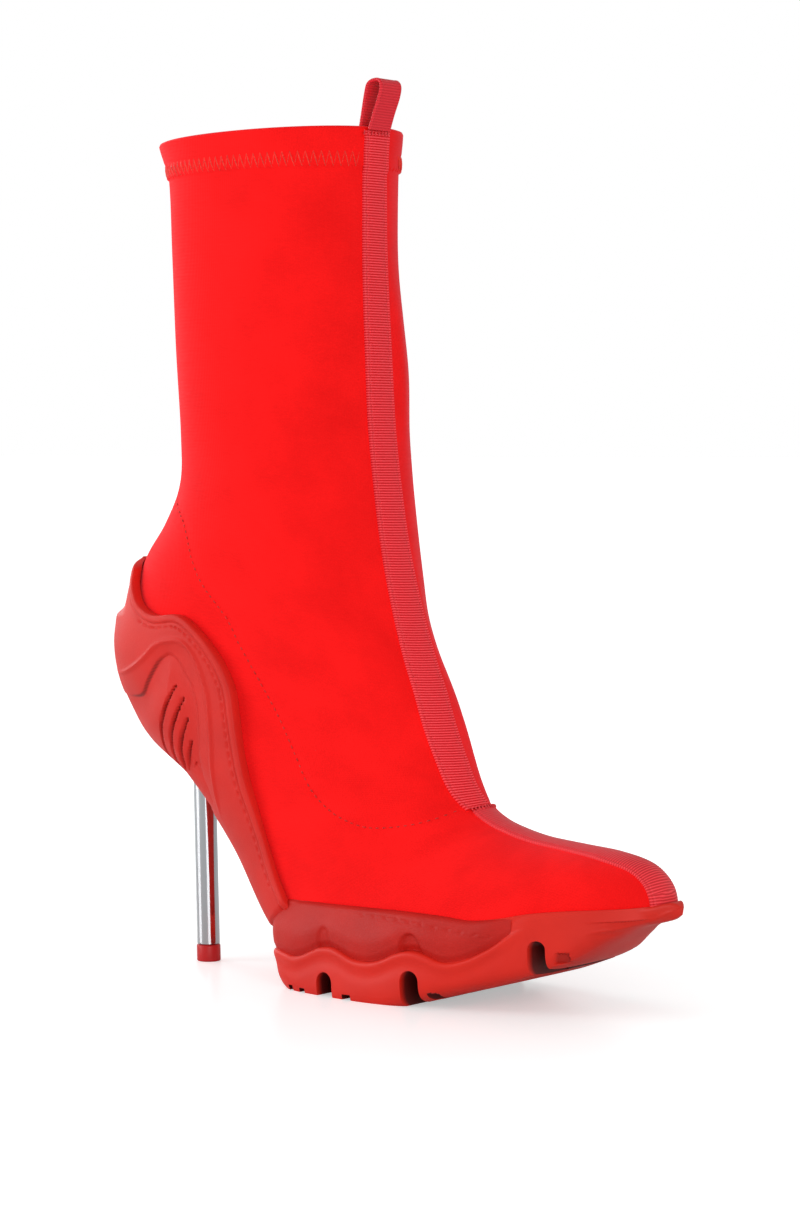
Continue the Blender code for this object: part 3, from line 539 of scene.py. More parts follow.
def ring_faces(rings, count):
    """Quads of a loft through closed rings, with a fan of quads over each end's middle line."""
    half = count // 2
    pairs = np.arange(half - 1)
    end = np.stack((pairs, pairs + 1, count - 2 - pairs, count - 1 - pairs), axis=-1)
    return np.concatenate((end[:, ::-1], grid_faces(rings, count, close=True), end + (rings - 1) * count))


def ring_piece(name, ring, finish, slot, node, **options):
    """Closed piece lofted through rings of points, which stands for one node."""
    rows, count = ring.shape[:2]
    new_piece(name, ring, ring_faces(rows, count), finish, slot, (node,), **options)


def mirrored_ring(x, half, z):
    """Closed rings: one side's points, then the other side's in turn, about the bowed centre line."""
    near = np.stack((x, swing(x) - half, z), axis=-1)
    far = np.stack((x, swing(x) + half, z), axis=-1)
    return np.concatenate((near, far[:, ::-1]), axis=1)


def stitch_bars(name, starts, ends, normals, radius, finish, slot, sink=0.15):
    """Thread bars: each is a six-sided spindle from a start to an end, arched along its normal.

    The spindle's radius is the square root of 1 - u^2 along the bar, with u from -1 to 1.
    """
    u = np.array([-1.0, -0.8, -0.3, 0.3, 0.8, 1.0])
    turn = np.arange(6) * math.pi / 3
    middle = (starts + ends) / 2
    run = (ends - starts) / 2
    side = unit(np.cross(run, normals))
    thick = radius * np.sqrt(np.clip(1.02 - u**2, 0.02, 1))
    spine = middle[:, None] + u[None, :, None] * run[:, None]
    spine = spine + normals[:, None] * (radius * (1 - sink) - radius * u[None, :, None]**2)
    points = (spine[:, :, None]
              + thick[None, :, None, None] * (np.cos(turn)[None, None, :, None] * side[:, None, None]
                                              + np.sin(turn)[None, None, :, None] * normals[:, None, None]))
    each = grid_faces(len(u), len(turn), close=True)
    caps = np.array([[3, 2, 1, 0], [5, 4, 3, 0], [30, 31, 32, 33], [30, 33, 34, 35]])
    each = np.concatenate((each, caps))
    count = len(u) * len(turn)
    faces = (each[None] + (np.arange(len(starts)) * count)[:, None, None]).reshape(-1, 4)
    new_piece(name, points, faces, finish, slot, crease=60.0)


# Finishes

# Pattern sizes in millimetres, the uneven ones as a metre shared out among their marks
WALE_PITCH = 0.9
COURSE_PITCH = 1.2
WARP_PITCH = 0.7
DYE_PATCH = 1000 / 45
RUBBER_PATCH = 1000 / 55
MOULD_GRAIN = 1000 / 1900
THREAD_TWIST = 1000 / 1400
POLISH_WIDTH = 1000 / 900
POLISH_LENGTH = 1000 / 25
FLOOR_PATCH = 1000 / 9
# Height of the finest relief, in metres as a bump node takes it
SURFACE_RELIEF = 0.0002
THREAD_RELIEF = 0.0001
# Length along the boot over which one finish turns into another
FINISH_FADE = 14.0
# Scale at which a wave texture has one band in each unit of length
ONE_BAND = 2 * math.pi / 20


def per_metre(size):
    """Texture scale of a pattern of this size in millimetres, on coordinates in metres."""
    return 1 / (size * MM)


def linear(colour):
    """Linear colour of an sRGB hex value."""
    channels = np.array([int(colour[i:i + 2], 16) for i in (0, 2, 4)]) / 255
    straight = np.where(channels <= 0.04045, channels / 12.92, ((channels + 0.055) / 1.055)**2.4)
    return (*straight.tolist(), 1.0)


def add_node(tree, kind, settings=(), links=()):
    """New shader node: settings name its properties or input sockets, links feed its inputs."""
    node = tree.nodes.new("ShaderNode" + kind)
    for key, value in dict(settings).items():
        if isinstance(key, str) and hasattr(node, key):
            setattr(node, key, value)
        else:
            node.inputs[key].default_value = value
    for key, source in dict(links).items():
        tree.links.new(source, node.inputs[key])
    return node


def new_finish(name, colour, roughness, **sockets):
    """Principled material with its constant values set on the shader; returns material, tree, shader."""
    finish = bpy.data.materials.new(name)
    finish.use_nodes = True
    tree = finish.node_tree
    shader = tree.nodes["Principled BSDF"]
    shader.inputs["Base Color"].default_value = linear(colour)
    shader.inputs["Roughness"].default_value = roughness
    for socket, value in sockets.items():
        shader.inputs[socket.replace("_", " ")].default_value = value
    return finish, tree, shader


def mottled(tree, shader, light, dark, vector, scale, low=0.35, high=0.65):
    """Two colours mixed by soft noise, to the base colour; returns the noise and the mix node."""
    noise = add_node(tree, "TexNoise", {"Scale": scale, "Detail": 3.0}, {"Vector": vector})
    ramp = add_node(tree, "MapRange", {"From Min": low, "From Max": high},
                    {"Value": noise.outputs["Fac"]})
    mix = add_node(tree, "Mix", {"data_type": "RGBA", 6: linear(dark), 7: linear(light)},
                   {0: ramp.outputs["Result"]})
    tree.links.new(mix.outputs[2], shader.inputs["Base Color"])
    return noise, mix


def bonded_knit():
    """Bonded polyester stretch knit: bright red, fine upright wales, a pale bloom where it turns away."""
    finish, tree, shader = new_finish("bonded_stretch_knit", "fc1717", 0.78, Sheen_Weight=0.27,
                                      Sheen_Roughness=0.45, Specular_IOR_Level=0.02)
    shader.inputs["Sheen Tint"].default_value = linear("ffa4b4")
    place = add_node(tree, "UVMap", {"uv_map": "cloth_mm"}).outputs["UV"]
    mottled(tree, shader, "fd1919", "f01616", place, 1 / DYE_PATCH)
    # Wales and courses are drawn about twice as coarse as the real knit, so that they show
    wales = add_node(tree, "TexWave",
                     {"bands_direction": "X", "Scale": ONE_BAND / WALE_PITCH, "Distortion": 0.6,
                      "Detail": 1.0}, {"Vector": place})
    courses = add_node(tree, "TexWave",
                       {"bands_direction": "Y", "Scale": ONE_BAND / COURSE_PITCH, "Distortion": 0.8,
                        "Detail": 1.0}, {"Vector": place})
    knit = add_node(tree, "Math", {"operation": "ADD"},
                    {0: wales.outputs["Fac"], 1: courses.outputs["Fac"]})
    relief = add_node(tree, "Bump", {"Strength": 0.22, "Distance": SURFACE_RELIEF},
                      {"Height": knit.outputs[0]})
    tree.links.new(relief.outputs["Normal"], shader.inputs["Normal"])
    return finish


def woven_tape(name, light, dark, ribs_from=None):
    """Grosgrain tape of nylon: cross ribs with a painted highlight on their crests and painted shade in the
    valleys, and a faint warp grid.

    With ribs_from the ribs' painted highlight and shade are faint behind that place along the boot and full
    in front of it.
    """
    finish, tree, shader = new_finish(name, light, 0.52, Sheen_Weight=0.04, Sheen_Roughness=0.4,
                                      Specular_IOR_Level=0.2)
    shader.inputs["Sheen Tint"].default_value = linear("ffc4c8")
    place = add_node(tree, "UVMap", {"uv_map": "cloth_mm"}).outputs["UV"]
    ribs = add_node(tree, "TexWave",
                    {"bands_direction": "Y", "Scale": ONE_BAND / RIB_PITCH, "Distortion": 0.0},
                    {"Vector": place})
    warp = add_node(tree, "TexWave",
                    {"bands_direction": "X", "Scale": ONE_BAND / WARP_PITCH, "Distortion": 0.3},
                    {"Vector": place})
    weave = add_node(tree, "Math", {"operation": "MULTIPLY_ADD", 1: 0.35},
                     {0: warp.outputs["Fac"], 2: ribs.outputs["Fac"]})
    # Painted highlight on the rib crests and painted shade in the valleys: the rib wave mixes the light and
    # dark colours
    tone = add_node(tree, "MapRange", {"From Min": 0.25, "From Max": 0.95},
                    {"Value": ribs.outputs["Fac"]})
    mix = add_node(tree, "Mix", {"data_type": "RGBA", 6: linear(dark), 7: linear(light)},
                   {0: tone.outputs["Result"]})
    tree.links.new(mix.outputs[2], shader.inputs["Base Color"])
    # Painted rib highlight and shade: faint behind ribs_from, full in front of it
    if ribs_from is not None:
        spot = add_node(tree, "TexCoord")
        parts = add_node(tree, "SeparateXYZ", (), {"Vector": spot.outputs["Object"]})
        painted_valley_tone = add_node(tree, "MapRange",
                         {"From Min": ribs_from * MM, "From Max": (ribs_from + FINISH_FADE) * MM,
                          "To Min": 0.40, "To Max": 0.10}, {"Value": parts.outputs["X"]})
        painted_crest_tone = add_node(tree, "Math", {"operation": "SUBTRACT", 0: 1.0},
                         {1: painted_valley_tone.outputs["Result"]})
        tree.links.new(painted_valley_tone.outputs["Result"], tone.inputs["To Min"])
        tree.links.new(painted_crest_tone.outputs[0], tone.inputs["To Max"])
    relief = add_node(tree, "Bump", {"Strength": 0.35, "Distance": SURFACE_RELIEF},
                      {"Height": weave.outputs[0]})
    tree.links.new(relief.outputs["Normal"], shader.inputs["Normal"])
    return finish


def moulded_rubber(name, light, dark, roughness, grain, smooth_from=None):
    """Moulded rubber: matt, slightly uneven red with the mould's fine spark-eroded grain, and painted shade:
    a dark red mixed in where a point attribute marks notches, grooves, slots and the leaf's edge.

    The grain fades out along the boot from smooth_from, where two mouldings run into one face.
    """
    finish, tree, shader = new_finish(name, light, roughness, Specular_IOR_Level=0.3)
    place = add_node(tree, "TexCoord").outputs["Object"]
    _, tone = mottled(tree, shader, light, dark, place, per_metre(RUBBER_PATCH))
    # Painted shade: the point attribute recess mixes a dark red into the colour in notches, grooves, slots
    # and along the leaf's edge
    recess = add_node(tree, "Attribute", {"attribute_name": "recess"})
    depth = add_node(tree, "MapRange", {"interpolation_type": "SMOOTHSTEP", "From Max": FULL_SHADE},
                     {"Value": recess.outputs["Fac"]})
    sunk = add_node(tree, "Mix", {"data_type": "RGBA", 7: linear("560c09")},
                    {0: depth.outputs["Result"], 6: tone.outputs[2]})
    tree.links.new(sunk.outputs[2], shader.inputs["Base Color"])
    pores = add_node(tree, "TexNoise", {"Scale": per_metre(MOULD_GRAIN), "Detail": 2.0},
                     {"Vector": place})
    rough = add_node(tree, "MapRange", {"To Min": roughness - 0.07, "To Max": roughness + 0.07},
                     {"Value": pores.outputs["Fac"]})
    tree.links.new(rough.outputs["Result"], shader.inputs["Roughness"])
    relief = add_node(tree, "Bump", {"Strength": grain, "Distance": SURFACE_RELIEF},
                      {"Height": pores.outputs["Fac"]})
    if smooth_from is not None:
        parts = add_node(tree, "SeparateXYZ", (), {"Vector": place})
        fade = add_node(tree, "MapRange",
                        {"From Min": smooth_from * MM, "From Max": (smooth_from + FINISH_FADE) * MM,
                         "To Min": grain, "To Max": 0.12}, {"Value": parts.outputs["X"]})
        tree.links.new(fade.outputs["Result"], relief.inputs["Strength"])
    tree.links.new(relief.outputs["Normal"], shader.inputs["Normal"])
    return finish


def polished_chrome():
    """Chrome-plated steel: a near mirror, with faint upright polishing streaks."""
    finish, tree, shader = new_finish("polished_chrome", "c2c2c5", 0.06, Metallic=1.0)
    place = add_node(tree, "TexCoord")
    across = per_metre(POLISH_WIDTH)
    stretch = add_node(tree, "Mapping", {"Scale": (across, across, per_metre(POLISH_LENGTH))},
                       {"Vector": place.outputs["Object"]})
    streaks = add_node(tree, "TexNoise", {"Scale": 1.0, "Detail": 2.0},
                       {"Vector": stretch.outputs["Vector"]})
    gloss = add_node(tree, "MapRange", {"To Min": 0.03, "To Max": 0.10},
                     {"Value": streaks.outputs["Fac"]})
    tree.links.new(gloss.outputs["Result"], shader.inputs["Roughness"])
    return finish


def sewing_thread(name, light, dark):
    """Twisted polyester thread: close to the cloth's red, with a soft gloss and twist marks."""
    finish, tree, shader = new_finish(name, light, 0.5, Sheen_Weight=0.05, Specular_IOR_Level=0.3)
    place = add_node(tree, "TexCoord")
    noise, _ = mottled(tree, shader, light, dark, place.outputs["Object"], per_metre(THREAD_TWIST), 0.4, 0.6)
    relief = add_node(tree, "Bump", {"Strength": 0.3, "Distance": THREAD_RELIEF},
                      {"Height": noise.outputs["Fac"]})
    tree.links.new(relief.outputs["Normal"], shader.inputs["Normal"])
    return finish


KNIT = bonded_knit()
# Tapes: the light colour is a painted highlight on the rib crests, the dark one painted shade in the valleys
TAPE = woven_tape("grosgrain_tape", "ff4e58", "d40e18")
LOOP_TAPE = woven_tape("loop_grosgrain", "e62e3a", "d0202c")
# Its ribs' painted highlight and shade grow to full strength from x = 88 mm towards the toe
VAMP_GROSGRAIN = woven_tape("vamp_grosgrain", "ff4a52", "c81820", 88.0)
CUP_RUBBER = moulded_rubber("matt_moulded_rubber", "d42117", "ca1e15", 0.56, 0.45)
RAIL_RUBBER = moulded_rubber("grained_rail_rubber", "be190f", "b2160d", 0.56, 0.7, 54.0)
TREAD_RUBBER = moulded_rubber("smooth_tread_rubber", "d82314", "d02012", 0.5, 0.12)
CHROME = polished_chrome()
# The lift and the liner take the rubber's nodes: one smooth and glossier, the other quite matt
LIFT_PLASTIC = moulded_rubber("lift_polyurethane", "c02022", "b41c1f", 0.42, 0.1)
SOCK_CLOTH = moulded_rubber("brushed_sock_cloth", "b81a1c", "a81618", 0.9, 0.5)
SEAM_THREAD = sewing_thread("seam_thread", "d8201a", "b41612")
HEM_THREAD = sewing_thread("hem_thread", "f03424", "d2241a")
TAPE_THREAD = sewing_thread("tape_thread", "ee3a42", "c4202a")


# Upper

def feather_angles(rows, lift):
    """Angle at which each section meets the lifted foot bed, 180 degrees where it stays above."""
    angles = np.tile(np.linspace(0, math.pi, 1441), (len(rows), 1))
    grid = section_grid(rows, angles)
    below = grid[..., 2] < curve_height(FLOOR_LINE, grid[..., 0]) + lift
    return np.where(below.any(axis=1), angles[0, np.argmax(below, axis=1)], math.pi)


def hem_lift(depth, around):
    """Extra thickness of the hem: full above its lower edge, which rises in scallops between stitches."""
    edge = HEM_DEPTH - 0.8 * np.abs(np.sin(math.pi * around / HEM_TOOTH))
    return HEM_FOLD * (1 - smooth_step(edge - 0.25, edge + 0.3, depth))


def upper_relief(points, stations, around):
    """Relief of the knit: hem fold, drawn-in seam line, front folds, and the worn-in ankle's soft troughs."""
    depth = np.interp(stations, SHAFT_ROWS, SHAFT_DEPTHS)[:, None]
    height = hem_lift(depth, around)
    height = height - 0.2 * bump(depth - HEM_STITCH_TOP, 0.7)
    x = points[..., 0]
    z = points[..., 2]
    low = (z < 172) & (z > 50)
    seam = np.full(x.shape, 50.0)
    seam[low] = line_distance(SEAM_LINE, x[low], z[low])[0]
    height = height - 0.45 * bump(seam, 0.9)
    inner = smooth_step(3, 11, around) * (1 - smooth_step(24, 44, around))
    height = height + curve_height(FRONT_FOLDS, z) * inner * smooth_step(0.5, 14, depth)
    aside = np.abs(points[..., 1])
    for level, climb, tall, middle, long, deep in ANKLE_FOLDS:
        fold = bump(z - level - climb * x, tall) * bump(x - middle, long)
        height = height - deep * fold * smooth_step(6, 20, aside)
    return height


def make_upper():
    """Stretch sock: outer and inner skins on one grid of section and angle, closed at collar and edge."""
    stations = np.concatenate((np.linspace(0, 1.2, 48), np.linspace(1.24, 5, 36)[1:],
                               np.linspace(5, TOE_ROW, 104)[1:]))
    limit = feather_angles(blend_rows(UPPER_SECTIONS, stations), GAP)
    half_columns = 120
    share = np.linspace(-1, 1, 2 * half_columns + 1)
    bowed = np.sign(share) * (np.minimum(np.abs(share) / SIDE_SHARE, 1) * SIDE_ANGLE)
    tail = np.sign(share) * np.maximum(np.abs(share) - SIDE_SHARE, 0) / (1 - SIDE_SHARE)
    angles = bowed + tail * (limit[:, None] - SIDE_ANGLE)
    skin = section_grid(blend_rows(UPPER_SECTIONS, stations), angles)
    normal = loft_normals(stations, angles)
    around = row_lengths(skin)
    around -= around[:, half_columns:half_columns + 1]
    outer = skin + normal * upper_relief(skin, stations, around)[..., None]
    held = np.where(stations > TIP_INNER_ROW, TIP_INNER_ROW + 0.6 * (stations - TIP_INNER_ROW), stations)
    inner = section_grid(blend_rows(UPPER_SECTIONS, held), angles) - loft_normals(held, angles) * WALL
    shrink = np.array([0.85, 0.6, 0.3, 0.0])[:, None, None]
    tip = outer[-1].mean(axis=0)
    cap = tip + (outer[-1] - tip) * shrink + np.array([0.3, 0, 0.1]) * (1 - shrink**2)
    inner_tip = inner[-1].mean(axis=0)
    inner_cap = inner_tip + (inner[-1] - inner_tip) * shrink
    fold = (outer[:1] + inner[:1]) / 2 + np.array([0, 0, 0.9])
    near_fold = 0.75 * outer[:1] + 0.25 * fold + np.array([0, 0, 0.45])
    far_fold = 0.75 * inner[:1] + 0.25 * fold + np.array([0, 0, 0.45])
    sheet = np.concatenate((fold, near_fold, outer, cap))
    lining = np.concatenate((fold, far_fold, inner, inner_cap))
    rows, columns = sheet.shape[:2]
    down = path_length(sheet[:, half_columns // 2])[:, None]
    wide = np.concatenate((around[:1], around[:1], around, np.repeat(around[-1:], len(cap), axis=0)))
    flat_map = np.stack((wide, np.repeat(down, columns, axis=1)), axis=-1)
    outside = grid_faces(rows, columns)
    inside = grid_faces(rows, columns, start=rows * columns)[:, ::-1]
    is_open = np.concatenate(((False, False), limit < math.pi - 1e-6, (False,) * len(cap)))
    run = np.nonzero(is_open)[0][:-1]
    first = np.stack((run, run + 1, run + 1 + rows, run + rows), axis=-1) * columns
    edges = np.concatenate((first, first[:, ::-1] + columns - 1))
    faces = np.concatenate((outside, inside, edges))
    new_piece("stretch_upper", np.concatenate((sheet, lining)), faces, KNIT, "stretch_knit", ("upper",),
              np.concatenate((flat_map, flat_map)), crease=70.0)


def side_frames(line, pitch, turn):
    """Points, outward normals and directions at even spacing along a side-view line on the upper."""
    fine = smooth_line(line, 40)
    length = path_length(fine)
    places = np.arange(0, length[-1], pitch)
    x = np.interp(places, length, fine[:, 0])
    z = np.interp(places, length, fine[:, 1])
    width = foot_width(x, z)
    slope_x = foot_width(x + 0.5, z) - foot_width(x - 0.5, z)
    slope_z = foot_width(x, z + 0.5) - foot_width(x, z - 0.5)
    points = np.column_stack((x, swing(x) + turn * width, z))
    normals = unit(np.column_stack((-slope_x, np.full(len(x), float(turn)), -slope_z)))
    return points, normals, unit(np.gradient(points, axis=0))


def make_seams():
    """Thread of the curved side seam, bar by bar along its line, on both sides of the boot."""
    both = [side_frames(SEAM_LINE, STITCH_PITCH, turn) for turn in (-1, 1)]
    points, normals, runs = (np.concatenate([side[part] for side in both]) for part in range(3))
    points = points - normals * 0.38
    stitch_bars("side_seam_thread", points - runs * 0.75, points + runs * 0.75, normals, 0.26,
                SEAM_THREAD, "stretch_knit")


def make_hem_thread():
    """Zigzag thread of the hem: bars that fall between two heights, and thinner sunk ones that climb back."""
    fine = np.linspace(-math.pi, math.pi, 4001)
    depth_rows = np.interp((HEM_STITCH_TOP, HEM_STITCH_FOOT), SHAFT_DEPTHS, SHAFT_ROWS)
    ring = section_grid(blend_rows(UPPER_SECTIONS, depth_rows[:1]), fine[None])[0]
    length = path_length(ring)
    teeth = int(round(length[-1] / HEM_TOOTH))
    corner = np.arange(2 * teeth + 1)
    places = (corner / 2 + 0.08 * (corner % 2)) * length[-1] / teeth
    turn = np.interp(places, length, fine)
    row = depth_rows[corner % 2]
    points = section_grid(blend_rows(UPPER_SECTIONS, row), turn[:, None])[:, 0]
    normals = loft_normals(row, turn[:, None])[:, 0]
    points = points + normals * (HEM_FOLD - 0.1)
    middle = unit(normals[:-1] + normals[1:])
    clear = np.abs((turn[:-1] + turn[1:]) / 2) > HEM_THREAD_START
    falling = corner[:-1] % 2 == 0
    for name, keep, radius, sink in (("hem_thread", clear & falling, 0.24, 0.5),
                                     ("hem_thread_return", clear & ~falling, 0.16, 0.7)):
        stitch_bars(name, points[:-1][keep], points[1:][keep], middle[keep], radius, HEM_THREAD,
                    "stretch_knit", sink)


# Tapes

# Sections are set this far apart in one table of lengths, so that they can't run into each other
FAR_APART = 1000.0
# A tape's back has every sixth point of its face
BACK_STEP = 6
# Places across a tape, as shares of its half width: closer at the selvedges
TAPE_SPREAD = np.concatenate((np.linspace(-1, -0.70, 9), np.linspace(-0.6, 0.6, 7), np.linspace(0.70, 1, 9)))


def rib_wave(along):
    """Cross ribs as a column of heights: a raised cosine, 1 on each crest and 0 between them."""
    return (0.5 + 0.5 * np.cos(2 * math.pi * along / RIB_PITCH))[:, None]


def tape_rows(first, last, spacing):
    """Section numbers at even spacing along the upper's front line, and the length down to each."""
    fine = np.linspace(first, last, 4000)
    front = blend_rows(UPPER_SECTIONS, fine)[:, 0:2]
    length = path_length(front)
    places = np.arange(0, length[-1], spacing)
    return np.interp(places, length, fine), places


def front_angles(stations, places):
    """Angles at which each section lies a given length aside of its front point, measured over the cloth.

    The length around every section is summed on fine angles.  One table over all sections, each
    set far apart from the last, then turns lengths back into angles.
    """
    half_count = 160
    fine = np.linspace(-2.0, 2.0, 2 * half_count + 1)
    ring = section_grid(blend_rows(UPPER_SECTIONS, stations), np.tile(fine, (len(stations), 1)))
    length = row_lengths(ring)
    length -= length[:, half_count:half_count + 1]
    apart = FAR_APART * np.arange(len(stations))[:, None]
    found = np.interp((places + apart).ravel(), (length + apart).ravel(), np.tile(fine, len(stations)))
    return found.reshape(places.shape)


def hem_under(stations):
    """How far the shaft tape is held off the skin: by the hem at the collar, then hardly at all."""
    depth = np.interp(stations, SHAFT_ROWS, SHAFT_DEPTHS)
    return GAP * 0.4 + HEM_FOLD * (1 - smooth_step(HEM_DEPTH - 0.5, HEM_DEPTH + 3.0, depth))


def tape_piece(name, skin, normal, under, height, across, along, finish, slot, node):
    """Woven tape: rings of face points at the given height over the skin, closed by back points under it."""
    face = skin + normal * (under[:, None] + height)[..., None]
    back = (skin + normal * (under - 0.25)[:, None, None])[:, ::BACK_STEP]
    ring = np.concatenate((face, back[:, ::-1]), axis=1)
    flat = np.stack((across, np.broadcast_to(along[:, None], across.shape)), axis=-1)
    flat_map = np.concatenate((flat, flat[:, ::BACK_STEP][:, ::-1]), axis=1)
    ring_piece(name, ring, finish, slot, node, flat_map=flat_map, crease=55.0)


def make_shaft_tape():
    """Grosgrain down the shaft: cross ribs with narrow crests between two smooth beaded selvedges."""
    stations, along = tape_rows(0.03, TACK_ROW, RIB_PITCH / 6)
    half = curve_height(TAPE_HALF_WIDTH, stations)[:, None]
    across = half * TAPE_SPREAD[None, :]
    angles = front_angles(stations, curve_height(TAPE_DRIFT, stations)[:, None] + across)
    skin = section_grid(blend_rows(UPPER_SECTIONS, stations), angles)
    edge = half - np.abs(across)
    rib = rib_wave(along)**1.5
    height = (0.70 + 0.30 * smooth_step(1.3, 1.8, edge) * rib + 0.26 * bump(edge - 0.65, 0.45)
              - 0.14 * bump(edge - TAPE_FURROW, 0.28) - 0.6 * bump(edge, 0.2))
    tape_piece("shaft_tape_woven", skin, loft_normals(stations, angles), hem_under(stations), height,
               across, along, TAPE, "ribbed_tape", "shaft_tape")


def make_vamp_tape():
    """Tape with a smooth, shallow-ribbed face from the tack over the toe: its path is the front line and then
    the blunt tip, and at each place it follows the upper's curve inwards until it has gone its half width
    aside.

    The curve is read as the half width at growing depths under the path.  The ribs grow deeper at the toe,
    where the finish also paints them with full highlight and shade.
    """
    stations = np.linspace(TACK_ROW + 0.03, TOE_ROW, 170)
    rows = blend_rows(UPPER_SECTIONS, stations)
    tip = rows[-1]
    drop = np.linspace(0, 0.58, 22)[1:, None]
    path = np.concatenate((rows[:, 0:2], tip[0:2] + drop * (tip[2:4] - tip[0:2])))
    stations = np.concatenate((stations, np.full(len(drop), TOE_ROW)))
    run = unit(np.gradient(path, axis=0))
    inward = np.column_stack((run[:, 1], -run[:, 0]))
    depth = 18.0 * np.linspace(0, 1, 70)**2
    spots = path[:, None] + depth[None, :, None] * inward[:, None]
    width = foot_width(spots[..., 0], spots[..., 1])
    width = np.maximum.accumulate(np.concatenate((np.zeros((len(path), 1)), width), axis=1), axis=1)
    depth = np.concatenate(((0.0,), depth))
    steps = np.hypot(np.diff(width, axis=1), np.diff(depth)[None, :]) + 1e-6
    length = np.concatenate((np.zeros((len(path), 1)), np.cumsum(steps, axis=1)), axis=1)
    half = curve_height(VAMP_HALF_WIDTH, stations)
    across = half[:, None] * TAPE_SPREAD[None, :]
    apart = FAR_APART * np.arange(len(path))[:, None]
    places = (np.abs(across) + apart).ravel()
    aside = np.interp(places, (length + apart).ravel(), width.ravel()).reshape(across.shape)
    below = np.interp(places, (length + apart).ravel(), np.tile(depth, len(path))).reshape(across.shape)
    flat = path[:, None] + below[..., None] * inward[:, None]
    coarse = np.stack((flat[..., 0], swing(flat[..., 0]) + np.sign(across) * aside, flat[..., 1]), axis=-1)
    down = path_length(path)
    along = np.arange(0, down[-1], RIB_PITCH / 5)
    fine = np.interp(along, down, np.arange(len(path)))
    skin = blend_rows(coarse.reshape(len(path), -1), fine).reshape(len(along), -1, 3)
    across = blend_rows(across, fine)
    edge = across[:, -1:] - np.abs(across)
    rib = rib_wave(along)
    ribbed = 0.04 + 0.16 * smooth_step(92, 104, np.interp(along, down, path[:, 0]))[:, None]
    height = (0.72 + ribbed * smooth_step(1.2, 1.8, edge) * rib + 0.10 * bump(edge - 0.6, 0.4)
              - 0.28 * bump(edge - 1.1, 0.25) - 0.6 * bump(edge, 0.2))
    tape_piece("vamp_tape_woven", skin, grid_normals(skin), np.full(len(along), 0.1), height, across, along,
               VAMP_GROSGRAIN, "vamp_tape", "vamp_tape")


def make_tape_stitches():
    """Edge stitches of the shaft tape: bars in the furrow beside each selvedge, evenly down the front."""
    stations, _ = tape_rows(0.2, TACK_ROW - 0.1, STITCH_PITCH / 2)
    bars = []
    for side in (-1, 1):
        furrow = side * (curve_height(TAPE_HALF_WIDTH, stations) - TAPE_FURROW)
        angles = front_angles(stations, (curve_height(TAPE_DRIFT, stations) + furrow)[:, None])
        normals = loft_normals(stations, angles)[:, 0]
        points = section_grid(blend_rows(UPPER_SECTIONS, stations), angles)[:, 0]
        points = points + normals * (hem_under(stations) + 0.38)[:, None]
        pairs = np.arange(0, len(points) - 1, 2)
        start = points[pairs]
        bars.append((start, start + 1.2 * (points[pairs + 1] - start), normals[pairs]))
    starts, ends, normals = (np.concatenate([bar[part] for bar in bars]) for part in range(3))
    stitch_bars("shaft_tape_thread", starts, ends, normals, 0.22, TAPE_THREAD, "ribbed_tape")


def tack_row(name, station, places, lift, long, slot):
    """Row of thread bars across the front line at one section, each lying along the boot."""
    stations = np.array([station])
    angles = front_angles(stations, places[None, :])
    points = section_grid(blend_rows(UPPER_SECTIONS, stations), angles)[0]
    ahead = unit(section_grid(blend_rows(UPPER_SECTIONS, stations + 0.05), angles)[0] - points)
    normals = loft_normals(stations, angles)[0]
    points = points + normals * lift
    stitch_bars(name, points - ahead * long, points + ahead * long, normals, 0.32, TAPE_THREAD, slot)


